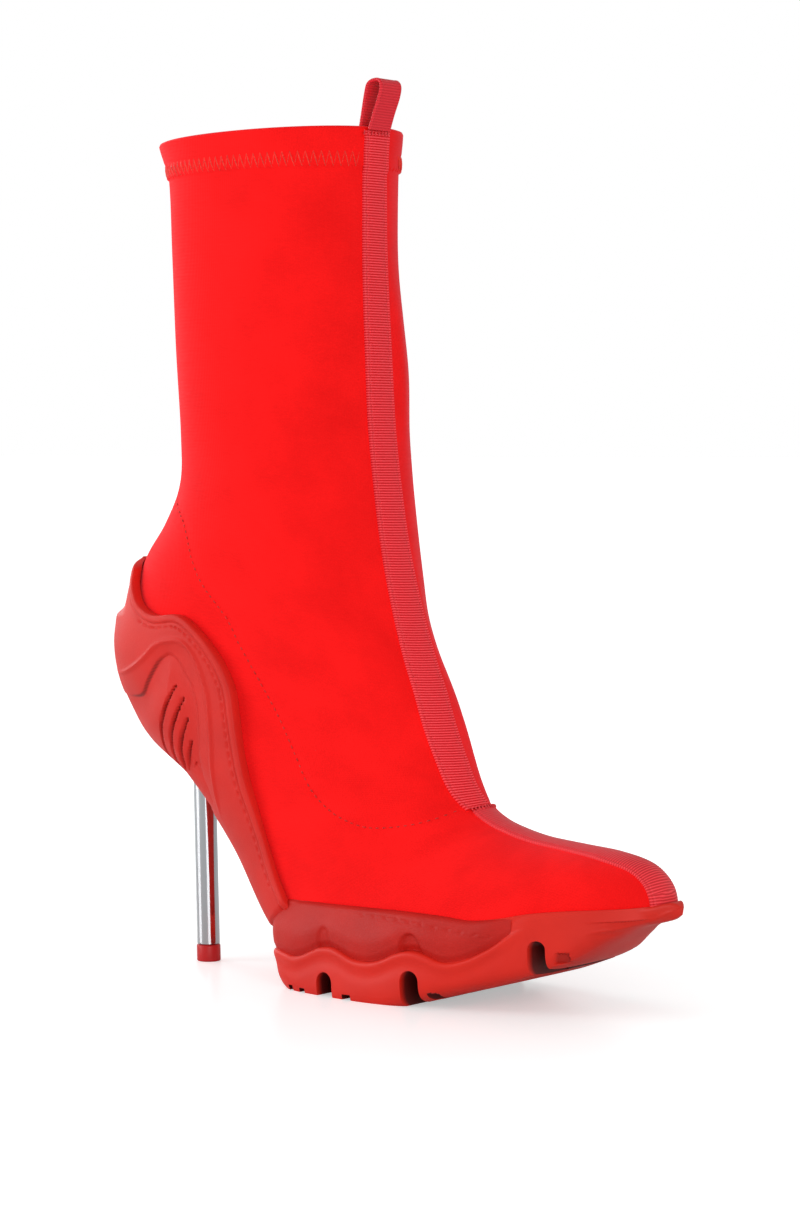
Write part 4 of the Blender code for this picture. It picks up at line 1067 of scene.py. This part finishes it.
def make_loop():
    """Pull loop: a flat ribbed strip carried along its side-view path, over the collar and down inside."""
    collar_x, collar_z = UPPER_SECTIONS[0][:2]
    out_x = collar_x + HEM_STEP + GAP + LOOP_THICK / 2
    in_x = collar_x - WALL - LOOP_INSIDE - LOOP_THICK / 2
    top = collar_z + LOOP_RISE
    path = ((out_x, collar_z - 0.6), (out_x + 0.8, collar_z + 5), (out_x + 2.0, top - 6),
            (out_x + 1.9, top - 2.4), (out_x + 0.3, top - 0.7), (out_x - 2.3, top - 0.5),
            (out_x - 4.3, top - 1.6), (out_x - 5.0, top - 4.2), (in_x + 0.5, collar_z + 6),
            (in_x - 0.1, collar_z), (in_x - 1.6, collar_z - LOOP_TAIL))
    fine = blend_rows(path, np.linspace(0, len(path) - 1, 2000))
    length = path_length(fine)
    along = np.arange(0, length[-1], RIB_PITCH / 6)
    middle = np.column_stack((np.interp(along, length, fine[:, 0]), np.interp(along, length, fine[:, 1])))
    run = unit(np.gradient(middle, axis=0))
    side = np.column_stack((run[:, 1], -run[:, 0]))
    half = LOOP_WIDTH / 2
    across = half * np.concatenate((np.linspace(-1, -0.72, 7), np.linspace(-0.6, 0.6, 7),
                                    np.linspace(0.72, 1, 7)))
    edge = half - np.abs(across)[None, :]
    rib = rib_wave(along)
    worn = 0.35 + 0.65 * np.clip(bump(along - 22, 5) + bump(along - 2, 4), 0, 1)[:, None]
    thick = (LOOP_THICK / 2 - 0.16 + 0.12 * worn * smooth_step(1.2, 1.7, edge) * rib
             + 0.16 * bump(edge - 0.7, 0.4) - 0.35 * bump(edge, 0.2))
    lean = np.interp(along, (0, 20, 60), (LOOP_FOOT_Y, LOOP_TOP_Y, LOOP_FOOT_Y))[:, None]
    sheets = []
    for face, order in ((1, slice(None)), (-1, slice(None, None, -1))):
        flat = middle[:, None, :] + face * thick[..., None] * side[:, None, :]
        sheet = np.stack((flat[..., 0], across[None, :] + lean, flat[..., 1]), axis=-1)
        sheets.append(sheet[:, order])
    ring = np.concatenate(sheets, axis=1)
    flat = np.stack(np.broadcast_arrays(across[None, :], along[:, None]), axis=-1)
    flat_map = np.concatenate((flat, flat[:, ::-1]), axis=1)
    ring_piece("pull_loop_tape", ring, LOOP_TAPE, "loop_tape", "pull_loop", flat_map=flat_map, crease=55.0)


# Rubber

def cup_relief(x, z, half):
    """Relief of the heel cup's outer face: rim bead, moulded stitch dashes, a ridge with a bevel down to the
    leaf, the leaf swelling towards the keel, its slots, and the thin fin above the back shelf.

    Also returns the painted shade of each point: most in the slots, and along the leaf's edge.
    """
    edge_line = tuple(row[:2] for row in CUP_FAN)
    edge, along = line_distance(edge_line, x, z)
    edge = np.abs(edge)
    height = 0.6 * np.sqrt(np.clip(1 - ((edge - BEAD_WIDTH / 2) / (BEAD_WIDTH / 2))**2, 0, 1))
    height = height - 0.30 * bump(edge - BEAD_WIDTH - 0.3, 0.5)
    row = (along > 26) & (along < 150)
    height = height - 0.5 * bump(edge - BEAD_WIDTH - 1.7, 0.45) * dashes(along, 3.3, 0.62) * row
    ridge = -line_distance(RIDGE_LINE, x, z)[0]
    panel = -line_distance(PANEL_LINE, x, z)[0]
    inside = smooth_step(-0.25, 0.25, panel)
    bevel = np.clip(ridge / np.maximum(ridge + np.abs(panel), 0.1), 0, 1) * (ridge > 0)
    swell = smooth_step(2, 12, panel) * (1 - smooth_step(8, 24, half)) * smooth_step(74, 82, z)
    hollow = (1 - smooth_step(14, 30, half)) * bump(z - 69, 7)
    sunk = 0.6 + 1.4 * smooth_step(-106, -92, x)
    leaf = -sunk * (1 - smooth_step(0.6, 13, panel)) * smooth_step(52, 70, z) + 1.4 * swell
    ahead = smooth_step(-112, -94, x) * smooth_step(54, 66, z)
    height = height + (0.7 * bump(ridge, 0.8) - 1.2 * bevel * (1 - inside)) * ahead + leaf * inside
    height = height - 1.6 * hollow * smooth_step(-3, 6, panel)
    under_leaf = smooth_step(-102, -92, x) * (1 - smooth_step(-80, -70, x))
    # Painted shade: a dark line along the leaf's edge
    slots = LEAF_EDGE_PAINTED_SHADE * bump(panel - 0.1, 0.6) * under_leaf
    for line in SLOT_LINES:
        distance, run = line_distance(line, x, z)
        total = path_length(smooth_line(line))[-1]
        taper = 0.5 + 0.5 * smooth_step(0, 0.3, run / total)
        open_slot = (1 - smooth_step(0.35, 0.8, np.abs(distance) / taper)) * (run < total)
        open_slot = open_slot * smooth_step(8, 20, half)
        height = height - 1.6 * open_slot
        # Painted shade in each slot
        slots = np.maximum(slots, SLOT_PAINTED_SHADE * open_slot)
    fin = smooth_step(125.4, 129.4, z) * (1 - smooth_step(-106, -98, x))
    height = height - 1.7 * fin + 0.25 * bump(z - 125.0, 2.2) * (1 - smooth_step(-108, -98, x))
    return height, slots


def keel_normals(near, reach):
    """Outward normals of one side of the cup, level with the middle plane along the keel.

    At the keel the normal is square to the keel line, which is averaged over eleven rings first.  Over the
    next columns it turns into the grid's own normal.
    """
    normal = grid_normals(near)
    normal = -normal * np.sign(np.mean(normal[..., 1]))
    line = np.pad(near[:, 0, (0, 2)], ((5, 5), (0, 0)), mode="edge")
    line = np.mean([line[step:step + len(near)] for step in range(11)], axis=0)
    run = np.gradient(line, axis=0)
    square = np.column_stack((run[:, 1], np.zeros(len(run)), -run[:, 0]))
    square *= np.sign(np.sum(square[:, (0, 2)] * reach, axis=1))[:, None]
    columns = 14
    turn = (np.arange(columns) / columns)[None, :, None]
    normal[:, :columns] = unit((1 - turn) * unit(square)[:, None] + turn * normal[:, columns:columns + 1])
    return normal


def make_cup():
    """Heel cup: rings in planes that fan around the heel, each from the keel up the outside to the edge,
    over it, down the inside against the upper, and across the foot bed.  The last rings draw in, so that
    the cup's end is tucked under the midsole."""
    stations = np.concatenate((np.linspace(0, 5, 88), np.linspace(5, 16, 204)[1:]))
    fan = blend_rows(CUP_FAN, stations)
    edge = fan[:, None, 0:2]
    reach = fan[:, None, 2:4] - edge
    scan = np.linspace(0, 1.6, 801)[None, :, None]
    line = edge + scan * reach
    keel = scan[0, np.argmax(cup_width(line[..., 0], line[..., 1]) <= 0, axis=1), 0][:, None, None]
    length = np.linalg.norm(reach, axis=-1)[:, 0]
    step = reach / length[:, None, None] * FIT
    foot = foot_width((line - step)[..., 0], (line - step)[..., 1])
    back = scan[0, np.argmax(foot < BACK_FLAT, axis=1), 0] + 2 * FIT / length
    under = line[..., 1] < curve_height(FLOOR_LINE, line[..., 0])
    floor = np.where(under.any(axis=1), scan[0, np.argmax(under, axis=1), 0], 2.0)
    bed = np.minimum(back, floor)[:, None, None]
    share = np.concatenate((0.88 * np.linspace(0, 1, 118)**1.5, np.linspace(0.884, 1, 32)))[None, :, None]
    outer = edge + (1 - share) * keel * reach
    inward = np.sin(np.linspace(0, math.pi / 2, 12))
    wall = edge + inward[None, :, None] * bed * reach
    tuck = 3.5 * smooth_step(15.0, 15.7, stations)[:, None]
    outer_half = cup_width(outer[..., 0], outer[..., 1])
    wall_half = foot_width((wall - step)[..., 0], (wall - step)[..., 1]) + FIT * (0.3 + inward**4)
    outer_half[:, -1] = np.maximum(outer_half[:, -1], wall_half[:, 0] + MIN_WALL)
    outer_half = np.maximum(outer_half - tuck, 0)
    wall_half = np.maximum(wall_half - tuck, 0)
    near = np.stack((outer[..., 0], -outer_half, outer[..., 1]), axis=-1)
    outward = keel_normals(near, reach[:, 0])
    height, slots = cup_relief(outer[..., 0], outer[..., 1], outer_half)
    lifted = near + outward * height[..., None]
    lifted[:, 0, 1] = 0.0
    lifted[..., 1] = np.minimum(lifted[..., 1], 0.0)
    inside = np.stack((wall[..., 0], -wall_half, wall[..., 1]), axis=-1)
    rim = 0.5 * (lifted[:, -1:] + inside[:, :1]) + 0.35 * (lifted[:, -1:] - lifted[:, -3:-2])
    side = np.concatenate((lifted, rim, inside), axis=1)
    ring = mirrored_ring(side[..., 0], -side[..., 1], side[..., 2])
    # Painted shade of the slots and the leaf's edge on the outside's columns; none on the rim and the inside
    shade = np.zeros(side.shape[:2])
    shade[:, :slots.shape[1]] = slots
    ring_piece("heel_cup_moulding", ring, CUP_RUBBER, "cup_rubber", "heel_cup", crease=50.0,
               shade=np.concatenate((shade, shade[:, ::-1]), axis=1))


def spread(low, high, points):
    """Heights from low to high in each ring, closer together at both ends."""
    return low + (0.5 - 0.5 * np.cos(np.linspace(0, math.pi, points)))[None, :] * (high - low)


def tray_wall(x, top, bed, brim):
    """Inner wall of forefoot rings, from the top down to the bed just outside the upper.

    Where the bed is level with the top there is no wall, and the points step inwards on the flat.
    """
    z = top + np.linspace(0, 1, 5)[None, :] * (bed - top)
    wide_x = np.broadcast_to(x, z.shape)
    half = foot_width(wide_x, np.maximum(z, curve_height(FLOOR_LINE, wide_x))) + 0.2
    stepped = brim * np.array([[0.78, 0.6, 0.4, 0.2, 0.02]])
    return wide_x, np.where(top - bed < 0.3, stepped, half), z


def lip_round(z, top, reach):
    """How far a lip of the given radius draws in as it rounds over to its top: a quarter circle."""
    lip = np.clip((z - (top - reach)) / reach, 0, 1)
    return reach * (1 - np.sqrt(1 - lip**2))


def rail_cover(x):
    """1 where the midsole covers the outsole's side, falling to 0 where the two run flush at the toe."""
    return 1 - smooth_step(60, 77, x)


def tread_relief(x, z):
    """Relief of the outsole's side: a rounded lip under the wave, a toe crease, and a slanted square recess.

    Also returns 1 in the recess, where it gets painted shade.
    """
    below = curve_height(WAVE_LINE, x) - z
    height = (0.35 * bump(below - 1.6, 1.5) - 0.3 * bump(below - 5.0, 2.2)) * rail_cover(x)
    crease = line_distance(TOE_CREASE_LINE, x, z)[0]
    height = height + (0.45 * bump(crease, 0.6) - 0.5 * bump(crease + 1.3, 1.0)) * smooth_step(93, 101, x)
    slant = np.abs(x - RECESS_X - RECESS_LEAN * (z - RECESS_Z))
    recess = 1 - smooth_step(RECESS_HALF_WIDTH - RECESS_SOFT, RECESS_HALF_WIDTH + RECESS_SOFT, slant)
    recess = recess * smooth_step(RECESS_FOOT - RECESS_SOFT, RECESS_FOOT + RECESS_SOFT, z)
    recess = recess * (1 - smooth_step(RECESS_TOP - RECESS_SOFT, RECESS_TOP + RECESS_SOFT, z))
    return height - RECESS_DEPTH * recess, recess


def rail_relief(x, z):
    """Relief of the midsole: pillows drawn in to the wave, hollows over its crests, a moulded stitch row."""
    above = z - curve_height(WAVE_LINE, x)
    height = 0.9 * bump(above - 6.5, 4.5) - 0.8 * (1 - smooth_step(0.0, 2.6, above))
    for middle, half, tall, depth in RAIL_ARCHES:
        arch = ((x - middle) / half)**2 + (np.maximum(above, 0) / tall)**2
        height = height - depth * (1 - smooth_step(0.75, 1.1, arch))
        height = height - 0.5 * bump(x - middle, half * 1.1) * bump(above, tall * 1.6)
    stitch, along = line_distance(RAIL_STITCH_LINE, x, z)
    row = smooth_step(1, 16, along) * (along < 60)
    return height - (0.35 * bump(stitch, 0.6) - 0.45 * bump(stitch, 0.4) * dashes(along, 5.0, 0.7)) * row


def notch_roof(x):
    """Roof height of the side notches: an arch over each, and a line of spring heights between them."""
    ends = [(middle + turn * width / 2, crown - width / 2)
            for middle, crown, width, _, _ in NOTCHES for turn in (-1, 1)]
    line = [(-36.0, 4.8), *ends, (118.0, 37.0)]
    roof = np.interp(x, [spot[0] for spot in line], [spot[1] for spot in line])
    for middle, crown, width, _, _ in NOTCHES:
        roof = roof + np.sqrt(np.clip((width / 2)**2 - (x - middle)**2, 0, None))
    return roof


def cut_notches(x, half, z, roof):
    """Draws side points under the roof in to the notch's back wall, and lifts bottom points to groove roofs.

    Also returns the painted shade of each point: full in the notches, a little less in the grooves.
    """
    shade = np.zeros(half.shape)
    for middle, crown, width, groove, groove_width in NOTCHES:
        within = (np.abs(x - middle) < width / 2) & (z < roof + 0.01)
        face = unit_width(np.array(middle), np.array(crown - width / 2))
        half = np.where(within, np.minimum(half, face - NOTCH_DEPTH), half)
        # Painted shade in the notch
        shade = np.where(within, NOTCH_PAINTED_SHADE, shade)
        radius = groove_width / 2
        arch = groove - radius + np.sqrt(np.clip(radius**2 - (x - middle)**2, 0, None))
        z = np.where((np.abs(x - middle) < radius) & (z < arch), arch, z)
    for middle, crown, width in GROOVES:
        within = (np.abs(x - middle) < width / 2) & (z < crown)
        z = np.where(within, crown, z)
        # Painted shade in the groove
        shade = np.where(within, GROOVE_PAINTED_SHADE, shade)
    return half, z, shade


def tread_stations():
    """Ring places along the outsole: even steps, closer at both ends and by the recess, with a pair of rings
    at each side of every cut and a fan of them under each arch."""
    cuts = [(row[0], row[2]) for row in NOTCHES] + [(row[0], row[4]) for row in NOTCHES]
    cuts += [(row[0], row[2]) for row in GROOVES]
    sides = np.array([middle + turn * (width / 2 + shift) for middle, width in cuts
                      for turn in (-1, 1) for shift in (-0.02, 0.02)])
    arches = np.concatenate([row[0] + row[2] / 2 * np.sin(np.linspace(-1.5, 1.5, 17)) for row in NOTCHES])
    even = np.concatenate((np.arange(-34.0, 114.0, 0.8), np.arange(81.4, 88.2, 0.4)))
    ends = np.array((-36.0, -35.8, -35.5, -35.1, -34.6, 114.4, 115.0, 115.6, 116.2, 116.6, 116.95, 117.2))
    return np.unique(np.round(np.concatenate((ends, even, sides, arches)), 4))[:, None]


def make_outsole():
    """Outsole: upright rings along the boot, flat-topped under the midsole and a tray in front of it.

    Each side runs from the lower edge to the notch roof, on to the wave, and on to the rim, where the
    midsole's share is drawn in.  Notches and grooves are cut by moving points.
    """
    x = tread_stations()
    bottom = unit_bottom(x)
    rim = curve_height(RIM_LINE, x)
    wave = np.minimum(curve_height(WAVE_LINE, x), rim - 0.5)
    top = wave + (rim - wave) * smooth_step(48, 60, x)
    low = np.maximum(bottom + 0.03 * (wave - bottom), 0.0)
    edge = low + 0.6 * smooth_step(58, 76, x)
    edge = edge + 0.4 * smooth_step(81.65, 81.75, x) * (1 - smooth_step(100, 114, x))
    roof = np.clip(notch_roof(x), edge + 0.1 * (wave - edge), edge + 0.9 * (wave - edge))
    lower_z = spread(edge, roof, 24)
    middle_z = spread(roof + 0.02, wave, 30)
    upper_z = spread(wave, top, 16)
    side_z = np.concatenate((lower_z, middle_z, upper_z), axis=1)
    side_x = np.broadcast_to(x, side_z.shape)
    cover = rail_cover(side_x)
    height, recess = tread_relief(side_x, side_z)
    half = unit_width(side_x, side_z) + height
    half = half - cover * lip_round(np.minimum(side_z, wave), wave, 1.2)
    half = half - cover * 1.2 * smooth_step(0.0, 0.8, side_z - wave)
    half = half - (1 - cover) * lip_round(side_z, top, 1.4)
    floor = curve_height(FLOOR_LINE, x)
    bed = np.where(foot_width(x, np.maximum(top, floor)) < 3.0, top - 0.01, floor)
    bed = np.where(x < 50, top - 0.01, np.minimum(bed, top))
    wall_x, wall_half, wall_z = tray_wall(x, top, bed, half[:, -1:])
    room = wall_half[:, :1] + 0.5 + 0.6 * (1 - cover)
    half = np.where((side_z > top - 4) & (top - bed > 0.3), np.maximum(half, room), half)
    columns = 24
    under = np.linspace(0.02, 0.98, columns)[None, :]
    first_x = np.broadcast_to(x, (len(x), columns))
    ripple = np.sin(first_x * 2 * math.pi / TREAD_PITCH + under * 9.0)
    tread = 0.5 * smooth_step(0.25, 0.6, ripple) * (under < 0.82)
    first_z = low + (edge - low) * under**4 + tread * (low < 14)
    all_x = np.concatenate((first_x, side_x, wall_x), axis=1)
    all_half = np.concatenate((under * half[:, :1], half, wall_half), axis=1)
    all_z = np.concatenate((first_z, side_z, wall_z), axis=1)
    all_half, all_z, shade = cut_notches(all_x, all_half, all_z, roof)
    on_side = slice(columns, columns + recess.shape[1])
    # Painted shade in the square recess
    shade[:, on_side] = np.maximum(shade[:, on_side], RECESS_PAINTED_SHADE * recess)
    ring = mirrored_ring(all_x, all_half, all_z)
    ring_piece("tread_outsole", ring, TREAD_RUBBER, "tread_rubber", "outsole", crease=35.0,
               shade=np.concatenate((shade, shade[:, ::-1]), axis=1))


def make_midsole():
    """Midsole rail: upright rings from the wave to the rim, sinking behind the outsole near the toe."""
    x = np.concatenate((np.array([-35.4, -35.0, -34.5]), np.arange(-34.0, 71.0, 0.6)))[:, None]
    rim = curve_height(RIM_LINE, x)
    low = np.minimum(curve_height(WAVE_LINE, x) + 0.05, rim - 1.5)
    bed = np.minimum(np.maximum(curve_height(FLOOR_LINE, x), low + 0.1), rim)
    side_z = spread(low, rim, 60)
    side_x = np.broadcast_to(x, side_z.shape)
    cover = rail_cover(side_x)
    half = unit_width(side_x, side_z) - RAIL_INSET * cover + rail_relief(side_x, side_z) * cover
    drawn_in = lip_round(side_z, rim, 1.4) + 0.8 * (1 - cover)
    half = half - drawn_in
    wall_x, wall_half, wall_z = tray_wall(x, rim, bed, half[:, -1:])
    room = wall_half[:, :1] + 0.8
    half = np.where(side_z > rim - 4, np.maximum(half, room - drawn_in), half)
    ring = mirrored_ring(np.concatenate((side_x, wall_x), axis=1), np.concatenate((half, wall_half), axis=1),
                         np.concatenate((side_z, wall_z), axis=1))
    ring_piece("pillow_midsole", ring, RAIL_RUBBER, "rail_rubber", "midsole", crease=40.0)


# Heel pin, lift and insole

def turned_bar(name, profile, finish, slot, node):
    """Round bar: a profile of distance up the bar and radius, turned about the leaning pin axis."""
    sides = 64
    turn = np.arange(sides) * 2 * math.pi / sides
    lean = (PIN_TOP_X - PIN_FOOT_X) / PIN_TOP_Z
    height = np.array([row[0] for row in profile])[:, None]
    radius = np.array([row[1] for row in profile])[:, None]
    points = np.stack((PIN_FOOT_X + lean * height + radius * np.cos(turn), radius * np.sin(turn),
                       np.broadcast_to(height, (len(profile), sides))), axis=-1)
    new_piece(name, points, grid_faces(len(profile), sides, close=True), finish, slot, (node,), crease=45.0)


def make_heel():
    """Chrome pin with a faint bevel at each end, standing on its bevelled lift."""
    r = PIN_RADIUS
    foot = LIFT_HEIGHT + GAP * 0.3
    turned_bar("chrome_pin", ((foot, 0), (foot, r - 0.3), (foot + 0.3, r), (foot + 0.8, r), (45, r),
                              (PIN_TOP_Z - 0.8, r), (PIN_TOP_Z - 0.2, r), (PIN_TOP_Z, r - 0.2),
                              (PIN_TOP_Z, 0)), CHROME, "polished_metal", "heel_pin")
    r = LIFT_RADIUS
    turned_bar("heel_lift", ((0, 0), (0, r - 0.3), (0.12, r - 0.1), (0.4, r), (LIFT_HEIGHT - 0.5, r),
                             (LIFT_HEIGHT - 0.15, r - 0.12), (LIFT_HEIGHT, r - 0.4), (LIFT_HEIGHT, 0)),
               LIFT_PLASTIC, "lift_plastic", "top_lift")


def make_insole():
    """Sole liner: face and back of a board on the foot bed, rounded at its edges, from side to side."""
    x = np.linspace(-104, 100, 120)[:, None]
    floor = curve_height(FLOOR_LINE, x)
    half = foot_width(x, floor + 1.5) - WALL - 1.0
    half = np.maximum(half * np.sqrt(np.clip(1 - smooth_step(-97, -105, x) * 0.85, 0, 1)), 2.0)
    share = np.linspace(-1, 1, 31)[None, :]
    y = swing(x) + half * share
    crown = 2.9 - 0.9 * np.abs(share)**10 + 0.5 * np.abs(share)**4 * bump(x + 30, 40)
    face = np.stack((np.broadcast_to(x, y.shape), y, floor + crown), axis=-1)
    back = np.stack((np.broadcast_to(x, y.shape), y, np.broadcast_to(floor + 0.45, y.shape)), axis=-1)
    ring = np.concatenate((face, back[:, ::-1]), axis=1)
    ring_piece("insole_liner", ring, SOCK_CLOTH, "insole_cloth", "insole", crease=50.0)


# Floor, light and camera

FLOOR_REACH = 60000.0
LAMP_AIM = (0, 0, 130)
# Broad lamps: beyond heel and toe on the outer side, and beyond the heel on the inner side
# Columns: name, place, size, watts
LAMPS = (
    ("key_lamp", (-900, -850, 380), 700, 7.4),
    ("front_lamp", (950, -700, 320), 700, 6.6),
    ("side_lamp", (-1100, 250, 500), 600, 4.0),
)
WHITE = (1.0, 1.0, 1.0, 1.0)


def make_floor():
    """White floor with a soft gloss, which glows to the eye like an overexposed sheet: the painted glow is
    weaker near the boot, so that the boot's shadow shows darker there, and stronger further out.
    """
    reach = FLOOR_REACH * MM
    corners = [(x * reach, y * reach, 0) for x, y in ((-1, -1), (1, -1), (1, 1), (-1, 1))]
    mesh = bpy.data.meshes.new("floor")
    mesh.from_pydata(corners, [], [(0, 1, 2, 3)])
    finish, tree, shader = new_finish("white_acrylic_floor", "e1e6e6", 0.3, Specular_IOR_Level=0.15)
    shader.inputs["Emission Color"].default_value = WHITE
    seen = add_node(tree, "LightPath")
    place = add_node(tree, "TexCoord").outputs["Object"]
    away = add_node(tree, "VectorMath", {"operation": "LENGTH"}, {0: place})
    # Painted glow to the eye, weaker within 5 to 30 cm of the boot's middle so that its shadow stays dark
    # there
    painted_glow = add_node(tree, "MapRange",
                    {"From Min": 0.05, "From Max": 0.30, "To Min": 0.42, "To Max": 0.66},
                    {"Value": away.outputs["Value"]})
    glow = add_node(tree, "Math", {"operation": "MULTIPLY"},
                    {0: painted_glow.outputs["Result"], 1: seen.outputs["Is Camera Ray"]})
    tree.links.new(glow.outputs[0], shader.inputs["Emission Strength"])
    noise = add_node(tree, "TexNoise", {"Scale": per_metre(FLOOR_PATCH)}, {"Vector": place})
    gloss = add_node(tree, "MapRange", {"To Min": 0.26, "To Max": 0.36},
                     {"Value": noise.outputs["Fac"]})
    tree.links.new(gloss.outputs["Result"], shader.inputs["Roughness"])
    mesh.materials.append(finish)
    floor = bpy.data.objects.new("floor", mesh)
    bpy.context.scene.collection.objects.link(floor)


def make_room():
    """Pale room: white to the eye, and as light it is dimmer overhead and beyond the toe."""
    world = bpy.data.worlds.new("pale_room")
    world.use_nodes = True
    tree = world.node_tree
    place = add_node(tree, "TexCoord")
    facing = add_node(tree, "VectorMath", {"operation": "DOT_PRODUCT", 1: (0.30, -0.38, 0.87)},
                      {0: place.outputs["Generated"]})
    wall = add_node(tree, "MapRange",
                    {"From Min": -0.6, "From Max": 0.9, "To Min": 0.76, "To Max": 0.44},
                    {"Value": facing.outputs["Value"]})
    seen = add_node(tree, "LightPath")
    bright = add_node(tree, "Math", {"operation": "MAXIMUM"},
                      {0: wall.outputs["Result"], 1: seen.outputs["Is Camera Ray"]})
    tree.links.new(bright.outputs[0], tree.nodes["Background"].inputs["Strength"])
    tree.nodes["Background"].inputs["Color"].default_value = WHITE
    bpy.context.scene.world = world


def make_lamps():
    """Square area lamps that all look at the ankle."""
    for name, spot, size, power in LAMPS:
        data = bpy.data.lights.new(name, "AREA")
        data.size = size * MM
        data.energy = power
        lamp = bpy.data.objects.new(name, data)
        lamp.location = Vector(spot) * MM
        lamp.rotation_euler = (Vector(LAMP_AIM) - Vector(spot)).to_track_quat("-Z", "Y").to_euler()
        bpy.context.scene.collection.objects.link(lamp)


def make_camera():
    """Camera where the photograph was taken from: turned round to the toe side and a little above."""
    pitch = math.atan2(IMAGE_HEIGHT / 2 - HORIZON_ROW, FOCAL_PIXELS)
    data = bpy.data.cameras.new("photo_camera")
    data.sensor_width = SENSOR_WIDTH
    data.sensor_fit = "AUTO"
    data.lens = SENSOR_WIDTH * FOCAL_PIXELS / IMAGE_HEIGHT
    camera = bpy.data.objects.new("photo_camera", data)
    camera.location = Vector((CAMERA_AIM_X + CAMERA_REACH * math.sin(CAMERA_TURN),
                              -CAMERA_REACH * math.cos(CAMERA_TURN), CAMERA_HEIGHT)) * MM
    camera.rotation_euler = (math.pi / 2 - pitch, 0.0, CAMERA_TURN)
    bpy.context.scene.collection.objects.link(camera)
    bpy.context.scene.camera = camera


make_camera()
make_upper()
make_seams()
make_hem_thread()
make_shaft_tape()
make_vamp_tape()
make_tape_stitches()
tack_row("bar_tack", TACK_ROW + 0.03, np.linspace(-6.4, 6.0, 10), 0.9, 0.9, "ribbed_tape")
tack_row("loop_foot_thread", 0.10, LOOP_FOOT_Y + np.linspace(-5.0, 5.0, 8), 1.95, 1.0, "loop_tape")
make_loop()
make_cup()
make_midsole()
make_outsole()
make_heel()
make_insole()
make_floor()
make_room()
make_lamps()
bpy.context.scene.view_settings.view_transform = "Standard"
bpy.context.scene.view_settings.look = "None"
